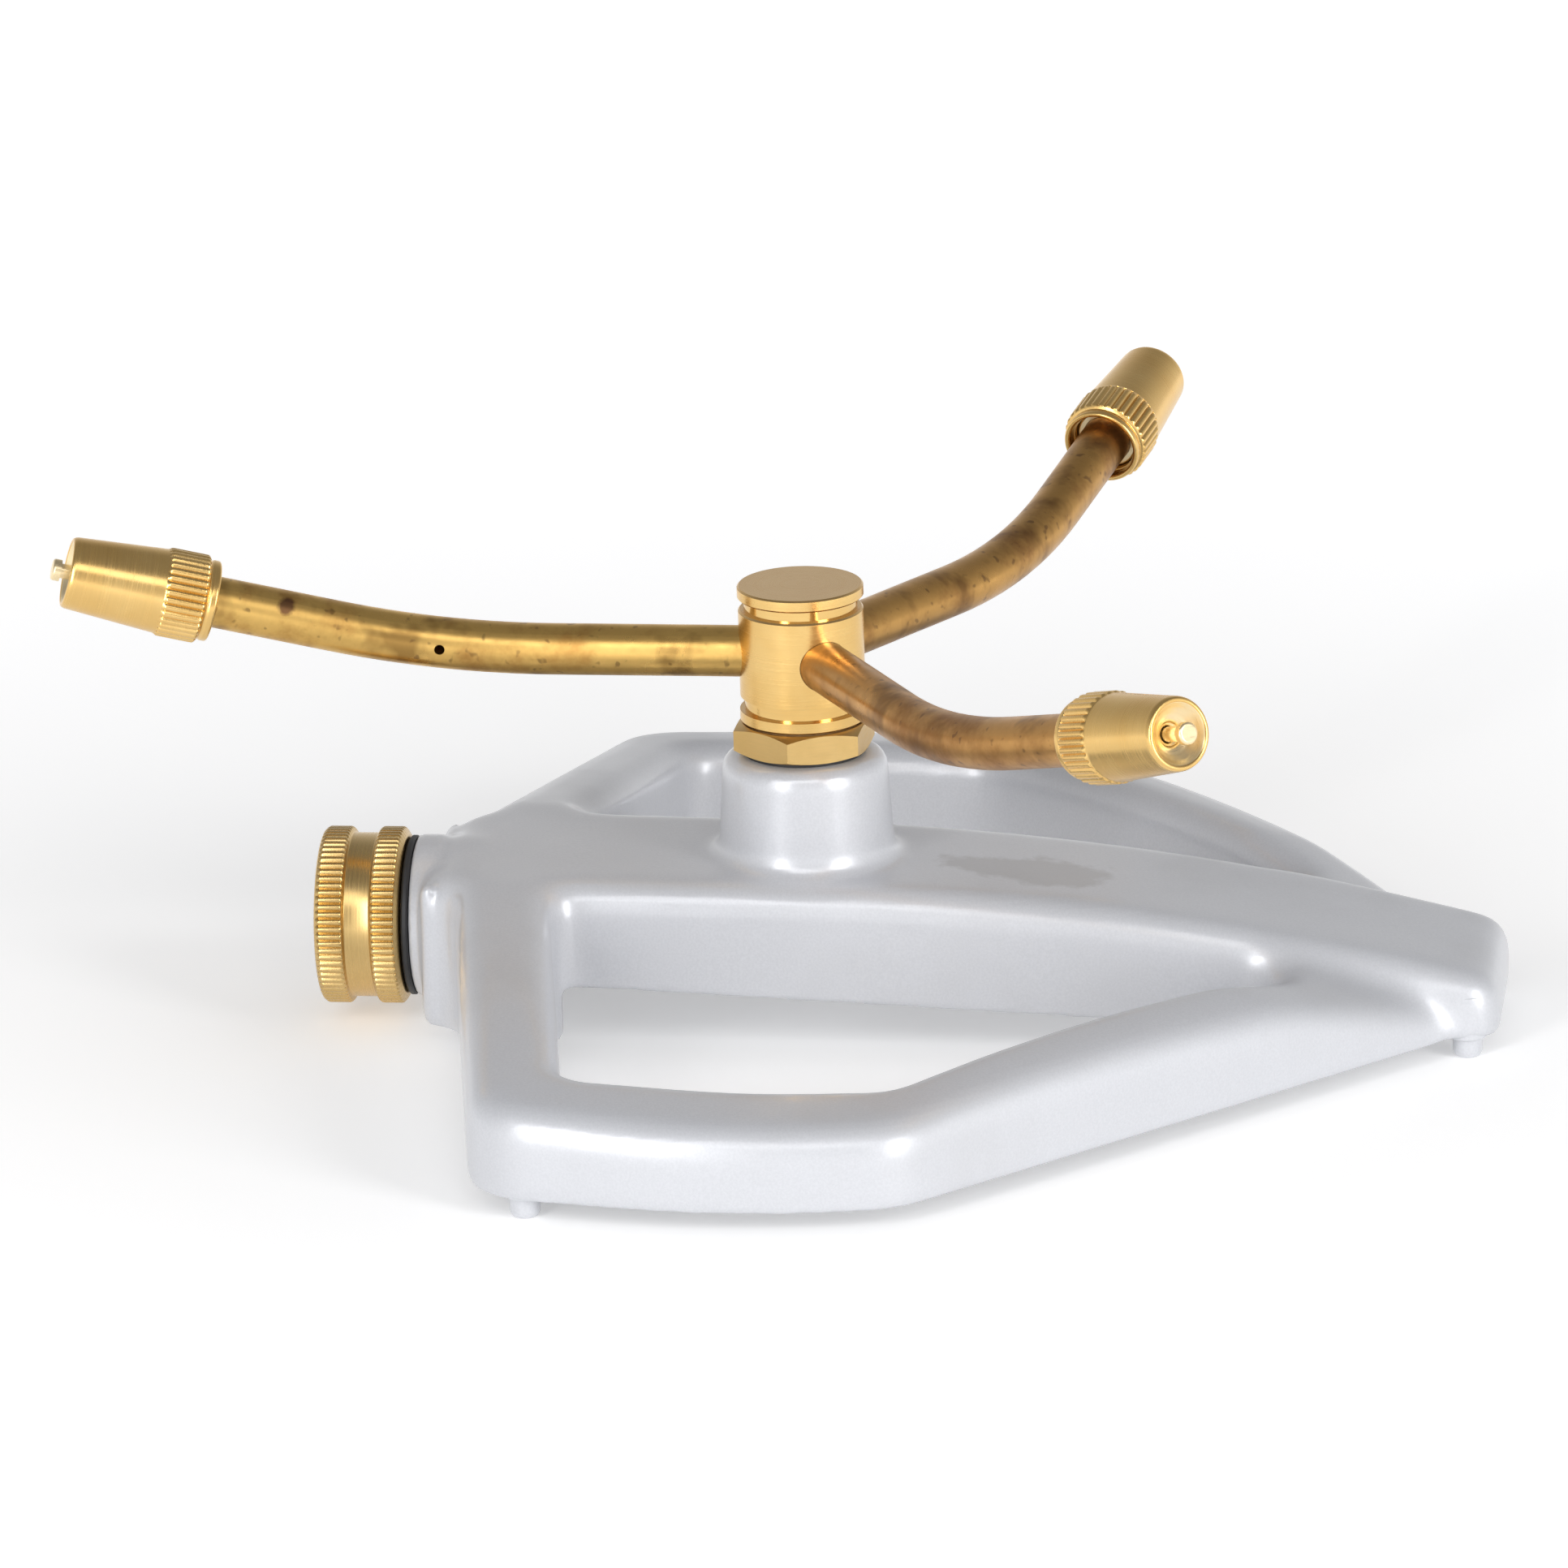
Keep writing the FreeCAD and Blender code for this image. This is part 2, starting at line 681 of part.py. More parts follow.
def feet():
    """Four round feet: a pair under the wings' outer corners and a pair under the tip."""
    spots = {
        "wing": ("foot_setback - crossbar_outer", "base_half_width - foot_inset"),
        "tip": ("base_tip - tip_foot_setback", "spine_half_tip - tip_foot_inset"),
    }
    made = []
    for place, (x, y) in spots.items():
        foot = turned("foot_" + place, [
            ("0", "0"),
            ("foot_flat", "0"),
            ("foot_radius", "foot_radius - foot_flat"),
            ("foot_radius", "rim_height"),
            ("foot_post", "rim_height"),
            ("foot_post", "rim_height + foot_post_height"),
            ("0", "rim_height + foot_post_height"),
        ], {1: "foot_radius - foot_flat"})
        bind(foot, ".Placement.Base.x", x)
        bind(foot, ".Placement.Base.y", y)
        made += [foot, mirrored("foot_far_" + place, foot)]
    return made


# ---------------------------------------------------------------------------------------------
# Hose inlet, turned about X: heights in these outlines are distances out from the collar's face
# ---------------------------------------------------------------------------------------------
COLLAR_FACE = "0 - base_end - collar_reach"
WEB_OUT = "inlet_washer_width + nut_play + nut_web"
FLANGE_OUT = WEB_OUT + " + nut_play + tail_flange_width"
WASHER_OUT = FLANGE_OUT + " + hose_washer_width"


def on_inlet(thing):
    """Turn a piece's own axis towards -X and set it on the collar's face."""
    thing.Placement = TOWARDS_INLET
    bind(thing, ".Placement.Base.x", COLLAR_FACE)
    bind(thing, ".Placement.Base.z", "inlet_height")
    return thing


def inlet_tailpiece():
    """Brass tube screwed into the collar; its flange holds the nut."""
    body = turned("tailpiece", [
        ("tail_bore", "0 - tail_thread"),
        ("tail_radius", "0 - tail_thread"),
        ("tail_radius", WEB_OUT + " + nut_play"),
        ("tail_flange_radius", WEB_OUT + " + nut_play"),
        ("tail_flange_radius", FLANGE_OUT),
        ("tail_bore + tail_mouth", FLANGE_OUT),
        ("tail_bore", FLANGE_OUT + " - tail_mouth"),
    ])
    return keep(on_inlet(body), "inlet_tailpiece")


def inlet_washer():
    """Black rubber washer between the collar and the nut."""
    body = turned("collar_washer", [
        ("tail_radius + seat_gap", "0"),
        ("inlet_washer_radius - edge_break", "0"),
        ("inlet_washer_radius", "edge_break"),
        ("inlet_washer_radius", "inlet_washer_width - edge_break"),
        ("inlet_washer_radius - edge_break", "inlet_washer_width"),
        ("tail_radius + seat_gap", "inlet_washer_width"),
    ])
    return keep(on_inlet(body), "inlet_washer")


def hose_washer():
    """Rubber washer on the flange, which the hose end presses on."""
    body = turned("hose_seal", [
        ("tail_bore + tail_mouth", FLANGE_OUT),
        ("nut_thread_radius - hose_washer_play", FLANGE_OUT),
        ("nut_thread_radius - hose_washer_play", WASHER_OUT + " - hose_washer_edge"),
        ("nut_thread_radius - hose_washer_play - hose_washer_edge", WASHER_OUT),
        ("tail_bore + tail_mouth", WASHER_OUT),
    ])
    return keep(on_inlet(body), "hose_washer")


def swivel_nut():
    """Hose nut: two grip bands with a waist between them, free to turn on the tailpiece."""
    start = "inlet_washer_width + nut_play"
    end = "inlet_washer_width + nut_play + nut_length"
    waist_in = "%s + (nut_length - nut_waist_width) / 2" % start
    waist_out = "%s + nut_waist_width" % waist_in
    body = turned("nut", [
        ("tail_radius + nut_play", start),
        ("nut_radius - nut_edge_in", start),
        ("nut_radius", start + " + nut_edge_out"),
        ("nut_radius", waist_in + " - nut_waist_edge"),
        ("nut_waist_radius", waist_in),
        ("nut_waist_radius", waist_out),
        ("nut_radius", waist_out + " + nut_waist_edge"),
        ("nut_radius", end + " - nut_edge_out"),
        ("nut_radius - nut_edge_in", end),
        ("nut_thread_radius + nut_lead_in", end),
        ("nut_thread_radius", end + " - nut_lead_in"),
        ("nut_thread_radius", WASHER_OUT),
        ("nut_thread_radius + nut_relief", WASHER_OUT),
        ("nut_thread_radius + nut_relief", WEB_OUT),
        ("tail_radius + nut_play", WEB_OUT),
    ])
    return keep(on_inlet(body), "swivel_nut")


# ---------------------------------------------------------------------------------------------
# Spindle and rotor hub, turned about Z
# ---------------------------------------------------------------------------------------------
HEX_BOTTOM = "boss_height + seal_thickness"
HEX_TOP = "boss_height + seal_thickness + hex_height"
HUB_BOTTOM = HEX_TOP + " + thrust_thickness"
HUB_TOP = HUB_BOTTOM + " + hub_height"
SHOULDER = HUB_BOTTOM + " + hub_bearing"
RING_HEIGHT = HUB_BOTTOM + " + hub_bearing / 2"
ARM_HEIGHT = HUB_BOTTOM + " + arm_rise"
SPINDLE_TOP = HUB_BOTTOM + " + spindle_reach"
CLIP_SEAT = SHOULDER + " + washer_thickness"


def spindle():
    """Hexagon, threaded foot and journal in one piece, bored for the water with ports to the hub."""
    groove = "journal_radius + journal_play / 2 - 2 * ring_section"
    foot = "boss_height - spindle_thread_length"
    outside_corners = "hex_across / sqrt(3) + seat_gap"
    groove_low = RING_HEIGHT + " - ring_section - ring_room"
    groove_high = RING_HEIGHT + " + ring_section + ring_room"
    turned_part = turned("spindle_turning", [
        ("spindle_bore + spindle_mouth", foot),
        ("spindle_thread_radius - thread_break", foot),
        ("spindle_thread_radius", foot + " + thread_break"),
        ("spindle_thread_radius", HEX_BOTTOM),
        ("hex_across / 2 - edge_break", HEX_BOTTOM),
        (outside_corners, HEX_BOTTOM + " + hex_bevel"),
        (outside_corners, HEX_TOP + " - hex_bevel"),
        ("hex_across / 2 - edge_break", HEX_TOP),
        ("journal_radius", HEX_TOP),
        ("journal_radius", groove_low),
        (groove, groove_low),
        (groove, groove_high),
        ("journal_radius", groove_high),
        ("journal_radius", CLIP_SEAT),
        ("journal_radius - clip_depth", CLIP_SEAT),
        ("journal_radius - clip_depth", CLIP_SEAT + " + clip_thickness"),
        ("journal_radius", CLIP_SEAT + " + clip_thickness"),
        ("journal_radius", SPINDLE_TOP + " - thread_break"),
        ("journal_radius - thread_break", SPINDLE_TOP),
        ("0", SPINDLE_TOP),
        ("0", SPINDLE_TOP + " - spindle_roof"),
        ("spindle_bore", SPINDLE_TOP + " - spindle_roof"),
        ("spindle_bore", foot + " + spindle_mouth"),
    ])
    hexagon = add("Part::Prism", "hexagon", Circumradius="hex_across / sqrt(3)", Height="hex_height")
    hexagon.Polygon = 6
    turn = FreeCAD.Rotation(V(0, 0, 1), value("arm_first") + value("hex_turn"))
    hexagon.Placement = FreeCAD.Placement(V(0, 0, 0), turn)
    bind(hexagon, ".Placement.Base.z", HEX_BOTTOM)
    core = cylinder("spindle_envelope", "spindle_thread_radius", SPINDLE_TOP, UPWARD)
    shape = common("spindle_blank", [turned_part, fuse("hexagon_and_core", [hexagon, core])])
    ports = []
    for number in range(2):
        turn = FreeCAD.Rotation(V(0, 0, 1), 90 * number) * FreeCAD.Rotation(V(0, 1, 0), 90)
        centre = turn.multVec(V(0, 0, -value("journal_radius") - 1))
        ports.append(cylinder("port_%d" % number, "port_radius", "2 * journal_radius + 2",
                              FreeCAD.Placement(centre, turn), z=ARM_HEIGHT))
    return keep(cut("spindle_bored", shape, fuse("ports", ports)), "spindle")


def ring(name, inner, outer, lowest, highest):
    """A flat washer about the rotor axis."""
    body = turned(name, [(inner, lowest), (outer, lowest), (outer, highest), (inner, highest)])
    return keep(body, name)


def seal_ring(label, middle_radius, section, height):
    """A rubber ring of round section about Z."""
    torus = add("Part::Torus", label + "_torus", Radius1=middle_radius, Radius2=section)
    bind(torus, ".Placement.Base.z", height)
    return keep(torus, label)


def rotor_hub():
    """Grooved brass hub with a bearing below, a water chamber above and three holes for the arms."""
    blank = turned("hub_turning", [
        ("journal_radius + journal_play", HUB_BOTTOM),
        ("hub_radius - edge_break", HUB_BOTTOM),
        ("hub_radius", HUB_BOTTOM + " + edge_break"),
        ("hub_radius", HUB_BOTTOM + " + hub_flange"),
        ("hub_radius - hub_groove_depth", HUB_BOTTOM + " + hub_flange"),
        ("hub_radius - hub_groove_depth", HUB_BOTTOM + " + hub_flange + hub_groove"),
        ("hub_radius - hub_step", HUB_BOTTOM + " + hub_flange + hub_groove"),
        ("hub_radius - hub_step", HUB_TOP + " - edge_break"),
        ("hub_radius - hub_step - edge_break", HUB_TOP),
        ("chamber_radius", HUB_TOP),
        ("chamber_radius", SHOULDER),
        ("journal_radius + journal_play", SHOULDER),
    ])
    holes = []
    for number in range(ARMS):
        holes.append(cylinder("arm_hole_%d" % (number + 1), "tube_radius + seat_gap", "hub_radius + tube_radius",
                              arm_turn(number) * ALONG_X, z=ARM_HEIGHT))
    return keep(cut("hub_drilled", blank, fuse("arm_holes", holes)), "rotor_hub")


def hub_cap():
    """Plug that closes the chamber: flange on top, neck that shows as a groove, plug inside."""
    body = turned("cap_turning", [
        ("0", HUB_TOP + " - cap_plug"),
        ("chamber_radius - cap_plug_bevel", HUB_TOP + " - cap_plug"),
        ("chamber_radius - seat_gap", HUB_TOP + " - cap_plug + cap_plug_bevel"),
        ("chamber_radius - seat_gap", HUB_TOP),
        ("cap_neck_radius", HUB_TOP),
        ("cap_neck_radius", HUB_TOP + " + cap_neck"),
        ("hub_radius - edge_break", HUB_TOP + " + cap_neck"),
        ("hub_radius", HUB_TOP + " + cap_neck + edge_break"),
        ("hub_radius", HUB_TOP + " + cap_neck + cap_flange - edge_break"),
        ("hub_radius - edge_break", HUB_TOP + " + cap_neck + cap_flange"),
        ("0", HUB_TOP + " + cap_neck + cap_flange"),
    ])
    return keep(body, "hub_cap")


# ---------------------------------------------------------------------------------------------
# Arms and nozzles
# ---------------------------------------------------------------------------------------------
ARMS = int(value("arm_count"))


def arm_turn(number):
    """The turn about Z that carries the first arm's direction to this arm."""
    angle = value("arm_first") + number * 360.0 / ARMS
    return FreeCAD.Placement(V(0, 0, 0), FreeCAD.Rotation(V(0, 0, 1), angle))


def arm_frame(number):
    """The arm's own frame: it bends towards its own +Y, and that plane is rolled up about X."""
    roll = FreeCAD.Placement(V(0, 0, value(ARM_HEIGHT)), FreeCAD.Rotation(V(1, 0, 0), value("arm_roll")))
    return arm_turn(number) * roll


def nozzle_frame(number):
    """Frame at the back of a nozzle, with Z along the tube's outer run."""
    bend = math.radians(value("arm_bend"))
    radius = value("arm_bend_radius")
    outer = value("arm_outer")
    x = value("arm_inner") + radius * math.sin(bend) + outer * math.cos(bend)
    y = radius * (1 - math.cos(bend)) + outer * math.sin(bend)
    aim = FreeCAD.Rotation(V(0, 0, 1), value("arm_bend")) * FreeCAD.Rotation(V(0, 1, 0), 90)
    return arm_frame(number) * FreeCAD.Placement(V(x, y, 0), aim)


def arm_tube(number):
    """Bent brass tube from the hub's chamber into the nozzle, with a small jet hole in its side."""
    name = "tube_%d" % number
    bend_end_x = "arm_inner + arm_bend_radius * sin(arm_bend)"
    bend_end_y = "arm_bend_radius * (1 - cos(arm_bend))"
    last = "(arm_outer + tube_seat)"
    way = [
        ("chamber_radius", "0"),
        ("arm_inner", "0"),
        (bend_end_x, bend_end_y),
        ("%s + %s * cos(arm_bend)" % (bend_end_x, last), "%s + %s * sin(arm_bend)" % (bend_end_y, last)),
    ]
    body = doc.addObject("PartDesign::Body", name)
    path = body_sketch(body, name + "_path", "XY")
    fill_sketch(path, way, {1: "arm_bend_radius"}, closed=False)
    section = body_sketch(body, name + "_section", "YZ")
    bind(section, ".AttachmentOffset.Base.z", "chamber_radius")
    for radius in ("tube_radius", "tube_radius - tube_wall"):
        edge = section.addGeometry(Part.Circle(V(0, 0, 0), V(0, 0, 1), value(radius)), False)
        section.addConstraint(Sketcher.Constraint("Coincident", edge, 3, -1, 1))
        held = section.addConstraint(Sketcher.Constraint("Radius", edge, value(radius)))
        section.setExpression("Constraints[%d]" % held, bound(radius))
    pipe = body.newObject("PartDesign::AdditivePipe", name + "_pipe")
    pipe.Profile = section
    pipe.Spine = (path, ["Edge1", "Edge2", "Edge3"])
    body.Tip = pipe
    half = math.radians(value("arm_bend") / 2)
    spot = V(
        value("arm_inner") + value("arm_bend_radius") * math.sin(half),
        value("arm_bend_radius") * (1 - math.cos(half)),
        0,
    )
    level = FreeCAD.Rotation(V(1, 0, 0), -90 - value("arm_roll"))
    jet = cylinder(name + "_jet", "jet_radius", "2 * tube_radius", FreeCAD.Placement(spot, level))
    return keep(cut(name + "_drilled", body, jet), "arm_tube_%d" % (number + 1), arm_frame(number))


def nozzle_stem(number):
    """Threaded stem brazed on the tube's end: slotted front, then the pin that shapes the jet."""
    name = "stem_%d" % number
    thread = "nozzle_thread_radius - stem_play"
    pin_end = "nozzle_length + pin_proud"
    body = turned(name, [
        ("tube_radius + seat_gap", "stem_setback"),
        (thread + " - edge_break", "stem_setback"),
        (thread, "stem_setback + edge_break"),
        (thread, "stem_length - stem_taper"),
        (thread + " - stem_taper_depth", "stem_length"),
        ("pin_neck", "stem_length"),
        ("pin_neck", pin_end + " - pin_head"),
        ("pin_radius", pin_end + " - pin_head"),
        ("pin_radius", pin_end + " - pin_edge"),
        ("pin_radius - pin_edge", pin_end),
        ("0", pin_end),
        ("0", "stem_length - stem_wall"),
        ("stem_bore", "stem_length - stem_wall"),
        ("stem_bore", "tube_seat"),
        ("tube_radius + seat_gap", "tube_seat"),
    ], {8: "pin_edge"})
    slots = []
    for side in range(2):
        turn = FreeCAD.Rotation(V(0, 0, 1), 90 * side) * FreeCAD.Rotation(V(0, 1, 0), 90)
        start = turn.multVec(V(0, 0, -value("nozzle_thread_radius") - 1))
        slots.append(cylinder("%s_slot_%d" % (name, side), "slot_radius", "2 * nozzle_thread_radius + 2",
                              FreeCAD.Placement(start, turn), z="stem_length - slot_setback"))
    whole = cut(name + "_slotted", body, fuse(name + "_slots", slots))
    return keep(whole, "nozzle_stem_%d" % (number + 1), nozzle_frame(number))


def nozzle_ring(number):
    """Rubber ring in a groove of the cap's bore; it slides on the stem."""
    name = "nozzle_oring_%d" % (number + 1)
    middle = "nozzle_thread_radius + nozzle_ring_section - seat_gap"
    torus = add("Part::Torus", "ring_%d" % number, Radius1=middle, Radius2="nozzle_ring_section")
    lift = FreeCAD.Placement(V(0, 0, value("nozzle_ring_place")), FreeCAD.Rotation())
    return keep(torus, name, nozzle_frame(number) * lift)


def nozzle_cap(number):
    """Adjusting cap: bell-mouthed back, grip ring, cone, and a dished tip around the pin."""
    groove = "nozzle_thread_radius + 2 * nozzle_ring_section"
    groove_low = "nozzle_ring_place - nozzle_ring_section - ring_room"
    groove_high = "nozzle_ring_place + nozzle_ring_section + ring_room"
    dish_floor = "nozzle_length - nozzle_dish_depth"
    body = turned("cap_%d" % number, [
        ("nozzle_thread_radius + nozzle_mouth", "0"),
        ("nozzle_collar_radius - edge_break", "0"),
        ("nozzle_collar_radius", "edge_break"),
        ("nozzle_collar_radius", "nozzle_collar"),
        ("knurl_radius - edge_break", "nozzle_collar"),
        ("knurl_radius", "nozzle_collar + edge_break"),
        ("knurl_radius", "nozzle_collar + knurl_width - edge_break"),
        ("nozzle_cone_radius", "nozzle_collar + knurl_width"),
        ("nozzle_tip_radius", "nozzle_length - nozzle_tip_round"),
        ("nozzle_tip_radius - edge_break", "nozzle_length - nozzle_lip"),
        ("nozzle_tip_radius - nozzle_tip_round", "nozzle_length"),
        ("nozzle_dish_radius", "nozzle_length - nozzle_lip"),
        ("nozzle_orifice + edge_break", dish_floor),
        ("nozzle_orifice", dish_floor + " - edge_break"),
        ("nozzle_orifice", dish_floor + " - nozzle_throat"),
        ("nozzle_thread_radius", "nozzle_thread_depth"),
        ("nozzle_thread_radius", groove_high),
        (groove, groove_high),
        (groove, groove_low),
        ("nozzle_thread_radius", groove_low),
        ("nozzle_thread_radius", "nozzle_mouth_depth"),
    ])
    return keep(body, "nozzle_cap_%d" % (number + 1), nozzle_frame(number))


# ---------------------------------------------------------------------------------------------
# Assembly
# ---------------------------------------------------------------------------------------------
base_casting()
inlet_tailpiece()
inlet_washer()
hose_washer()
swivel_nut()
spindle()
ring("spindle_seal", "spindle_thread_radius + seat_gap", "hex_across / 2 - seal_inset", "boss_height", HEX_BOTTOM)
ring("lower_thrust_washer", "journal_radius + seat_gap", "hub_radius - thrust_inset", HEX_TOP, HUB_BOTTOM)
seal_ring("spindle_oring", "journal_radius + journal_play / 2 - ring_section", "ring_section", RING_HEIGHT)
ring("upper_thrust_washer", "journal_radius + seat_gap", "chamber_radius - washer_play", SHOULDER, CLIP_SEAT)
ring("retaining_clip", "journal_radius - clip_depth + seat_gap", "journal_radius + clip_stand",
     CLIP_SEAT, CLIP_SEAT + " + clip_thickness")
rotor_hub()
hub_cap()
for arm in range(ARMS):
    arm_tube(arm)
    nozzle_stem(arm)
    nozzle_ring(arm)
    nozzle_cap(arm)
doc.recompute()

for thing in doc.Objects:
    if "Invalid" in thing.State or "Error" in thing.State:
        raise RuntimeError("%s did not build: %s" % (thing.Name, thing.State))

os.makedirs("parts", exist_ok=True)
for piece in pieces:
    if piece.Shape.isNull() or not piece.Shape.isValid():
        raise RuntimeError("%s has no valid shape" % piece.Label)
for piece in pieces:
    piece.Shape.exportStep("parts/%s.step" % piece.Label)
    print("%-22s solids %d  volume %.1f" % (piece.Label, len(piece.Shape.Solids), piece.Shape.Volume))
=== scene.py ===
import json
import math

import bmesh
import bpy
import numpy as np
import openvdb
from mathutils import Matrix, Vector


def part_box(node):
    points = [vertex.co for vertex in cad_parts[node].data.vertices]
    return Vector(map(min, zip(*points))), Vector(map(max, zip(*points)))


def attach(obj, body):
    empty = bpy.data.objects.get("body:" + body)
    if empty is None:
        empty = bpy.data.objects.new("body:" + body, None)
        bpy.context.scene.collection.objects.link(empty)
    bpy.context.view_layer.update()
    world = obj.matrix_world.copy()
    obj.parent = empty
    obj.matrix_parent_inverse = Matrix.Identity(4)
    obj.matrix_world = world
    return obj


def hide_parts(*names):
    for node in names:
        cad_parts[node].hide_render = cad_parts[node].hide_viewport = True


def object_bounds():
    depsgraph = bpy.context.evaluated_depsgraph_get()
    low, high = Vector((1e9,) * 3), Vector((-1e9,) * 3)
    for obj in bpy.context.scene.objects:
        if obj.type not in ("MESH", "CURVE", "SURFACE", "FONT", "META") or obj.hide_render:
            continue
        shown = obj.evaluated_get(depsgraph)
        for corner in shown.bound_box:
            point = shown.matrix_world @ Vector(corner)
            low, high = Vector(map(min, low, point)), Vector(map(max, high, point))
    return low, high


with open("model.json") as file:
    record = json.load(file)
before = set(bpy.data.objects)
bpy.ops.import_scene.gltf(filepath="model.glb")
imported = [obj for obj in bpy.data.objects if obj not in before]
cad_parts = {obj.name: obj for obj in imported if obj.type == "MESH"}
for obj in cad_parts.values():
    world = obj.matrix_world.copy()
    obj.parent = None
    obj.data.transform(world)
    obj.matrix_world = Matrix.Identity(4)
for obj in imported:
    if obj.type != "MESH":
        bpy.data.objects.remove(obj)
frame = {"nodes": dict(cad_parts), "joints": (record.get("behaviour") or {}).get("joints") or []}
CAD_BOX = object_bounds()
MM = 0.001


# ---------------------------------------------------------------------------------------------
# Materials
# ---------------------------------------------------------------------------------------------
SCUFF_PLACE = (0.040, -0.004, 0.028)
SCUFF_REACH = (0.024, 0.012, 0.012)
SCUFF_COLOUR = (0.36, 0.35, 0.35)
STAIN_COLOUR = (0.45, 0.45, 0.46)
# Browner colour painted on flat brass ends: painted shade, not tarnish.
FLAT_END_PAINTED_SHADE = (0.52, 0.33, 0.16)
SPECK_COLOUR = (0.12, 0.06, 0.03)
MARK_COLOUR = (0.11, 0.045, 0.03)
RINGS_PER_METRE = 2400.0


class Shader:
    """A node material with short calls for the nodes that the finishes share."""

    def __init__(self, name, **values):
        self.material = bpy.data.materials.new(name)
        self.material.use_nodes = True
        self.nodes = self.material.node_tree.nodes
        self.links = self.material.node_tree.links
        self.surface = self.nodes["Principled BSDF"]
        for key, value in values.items():
            self.surface.inputs[key.replace("_", " ").title()].default_value = value
        coordinates = self.nodes.new("ShaderNodeTexCoord")
        self.place = coordinates.outputs["Object"]
        self.facing = coordinates.outputs["Normal"]

    def join(self, source, target):
        self.links.new(source, target)

    def stretched(self, scale):
        mapping = self.nodes.new("ShaderNodeMapping")
        mapping.inputs["Scale"].default_value = scale
        self.join(self.place, mapping.inputs["Vector"])
        return mapping.outputs["Vector"]

    def noise(self, scale, detail=2.0, roughness=0.5, vector=None):
        node = self.nodes.new("ShaderNodeTexNoise")
        node.inputs["Scale"].default_value = scale
        node.inputs["Detail"].default_value = detail
        node.inputs["Roughness"].default_value = roughness
        self.join(vector or self.place, node.inputs["Vector"])
        return node.outputs["Fac"]

    def ramp(self, source, stops):
        node = self.nodes.new("ShaderNodeValToRGB")
        elements = node.color_ramp.elements
        while len(elements) < len(stops):
            elements.new(0.5)
        for element, (position, colour) in zip(elements, stops):
            element.position = position
            element.color = (*colour, 1.0)
        self.join(source, node.inputs["Fac"])
        return node.outputs["Color"]

    def math(self, operation, first, second):
        node = self.nodes.new("ShaderNodeMath")
        node.operation = operation
        for socket, thing in zip(node.inputs, (first, second)):
            if isinstance(thing, (int, float)):
                socket.default_value = thing
            else:
                self.join(thing, socket)
        return node.outputs["Value"]

    def parts(self, vector):
        node = self.nodes.new("ShaderNodeSeparateXYZ")
        self.join(vector, node.inputs[0])
        return dict(zip("XYZ", node.outputs))

    def turning(self, axis, fineness):
        """Distance from the turning axis, and fine rings about it on sides and faces alike."""
        parts = self.parts(self.place)
        across = [parts[letter] for letter in "XYZ" if letter != axis]
        squares = [self.math("MULTIPLY", one, one) for one in across]
        radius = self.math("SQRT", self.math("ADD", *squares), 0.0)
        along = self.nodes.new("ShaderNodeCombineXYZ")
        self.join(self.math("MULTIPLY", radius, fineness), along.inputs["X"])
        self.join(self.math("MULTIPLY", parts[axis], fineness), along.inputs["Y"])
        self.join(self.math("MULTIPLY", across[0], 5.0), along.inputs["Z"])
        return radius, self.noise(1.0, 3.0, 0.7, along.outputs[0])

    def scuffs(self):
        """One dull rubbed patch on the top of the spine, between the boss and the tip."""
        moved = self.nodes.new("ShaderNodeMapping")
        moved.vector_type = "TEXTURE"
        moved.inputs["Location"].default_value = SCUFF_PLACE
        moved.inputs["Scale"].default_value = SCUFF_REACH
        self.join(self.place, moved.inputs["Vector"])
        length = self.nodes.new("ShaderNodeVectorMath")
        length.operation = "LENGTH"
        self.join(moved.outputs["Vector"], length.inputs[0])
        near = self.spread(length.outputs["Value"], 1.0, 0.0, 0.0, 1.3)
        ragged = self.math("ADD", near, self.noise(90.0, 4.0, 0.65))
        return self.spread(ragged, 0.0, 0.55, 0.98, 1.14)

    def spread(self, source, low, high, start=0.0, end=1.0):
        node = self.nodes.new("ShaderNodeMapRange")
        for key, value in (("From Min", start), ("From Max", end), ("To Min", low), ("To Max", high)):
            node.inputs[key].default_value = value
        self.join(source, node.inputs["Value"])
        return node.outputs["Result"]

    def mix(self, factor, first, second, blend="MIX"):
        node = self.nodes.new("ShaderNodeMix")
        node.data_type = "RGBA"
        node.blend_type = blend
        for socket, thing in (("Factor", factor), ("A", first), ("B", second)):
            target = [i for i in node.inputs if i.name == socket and i.enabled][0]
            if isinstance(thing, (tuple, float)):
                target.default_value = (*thing, 1.0) if isinstance(thing, tuple) else thing
            else:
                self.join(thing, target)
        return [o for o in node.outputs if o.enabled][0]

    def bump(self, heights):
        """heights: pairs of a height source and its depth in metres."""
        normal = None
        for source, depth in heights:
            node = self.nodes.new("ShaderNodeBump")
            node.inputs["Strength"].default_value = 1.0
            node.inputs["Distance"].default_value = depth
            self.join(source, node.inputs["Height"])
            if normal is not None:
                self.join(normal, node.inputs["Normal"])
            normal = node.outputs["Normal"]
        self.join(normal, self.surface.inputs["Normal"])

    def colour(self, source):
        self.join(source, self.surface.inputs["Base Color"])

    def roughness(self, source):
        self.join(source, self.surface.inputs["Roughness"])


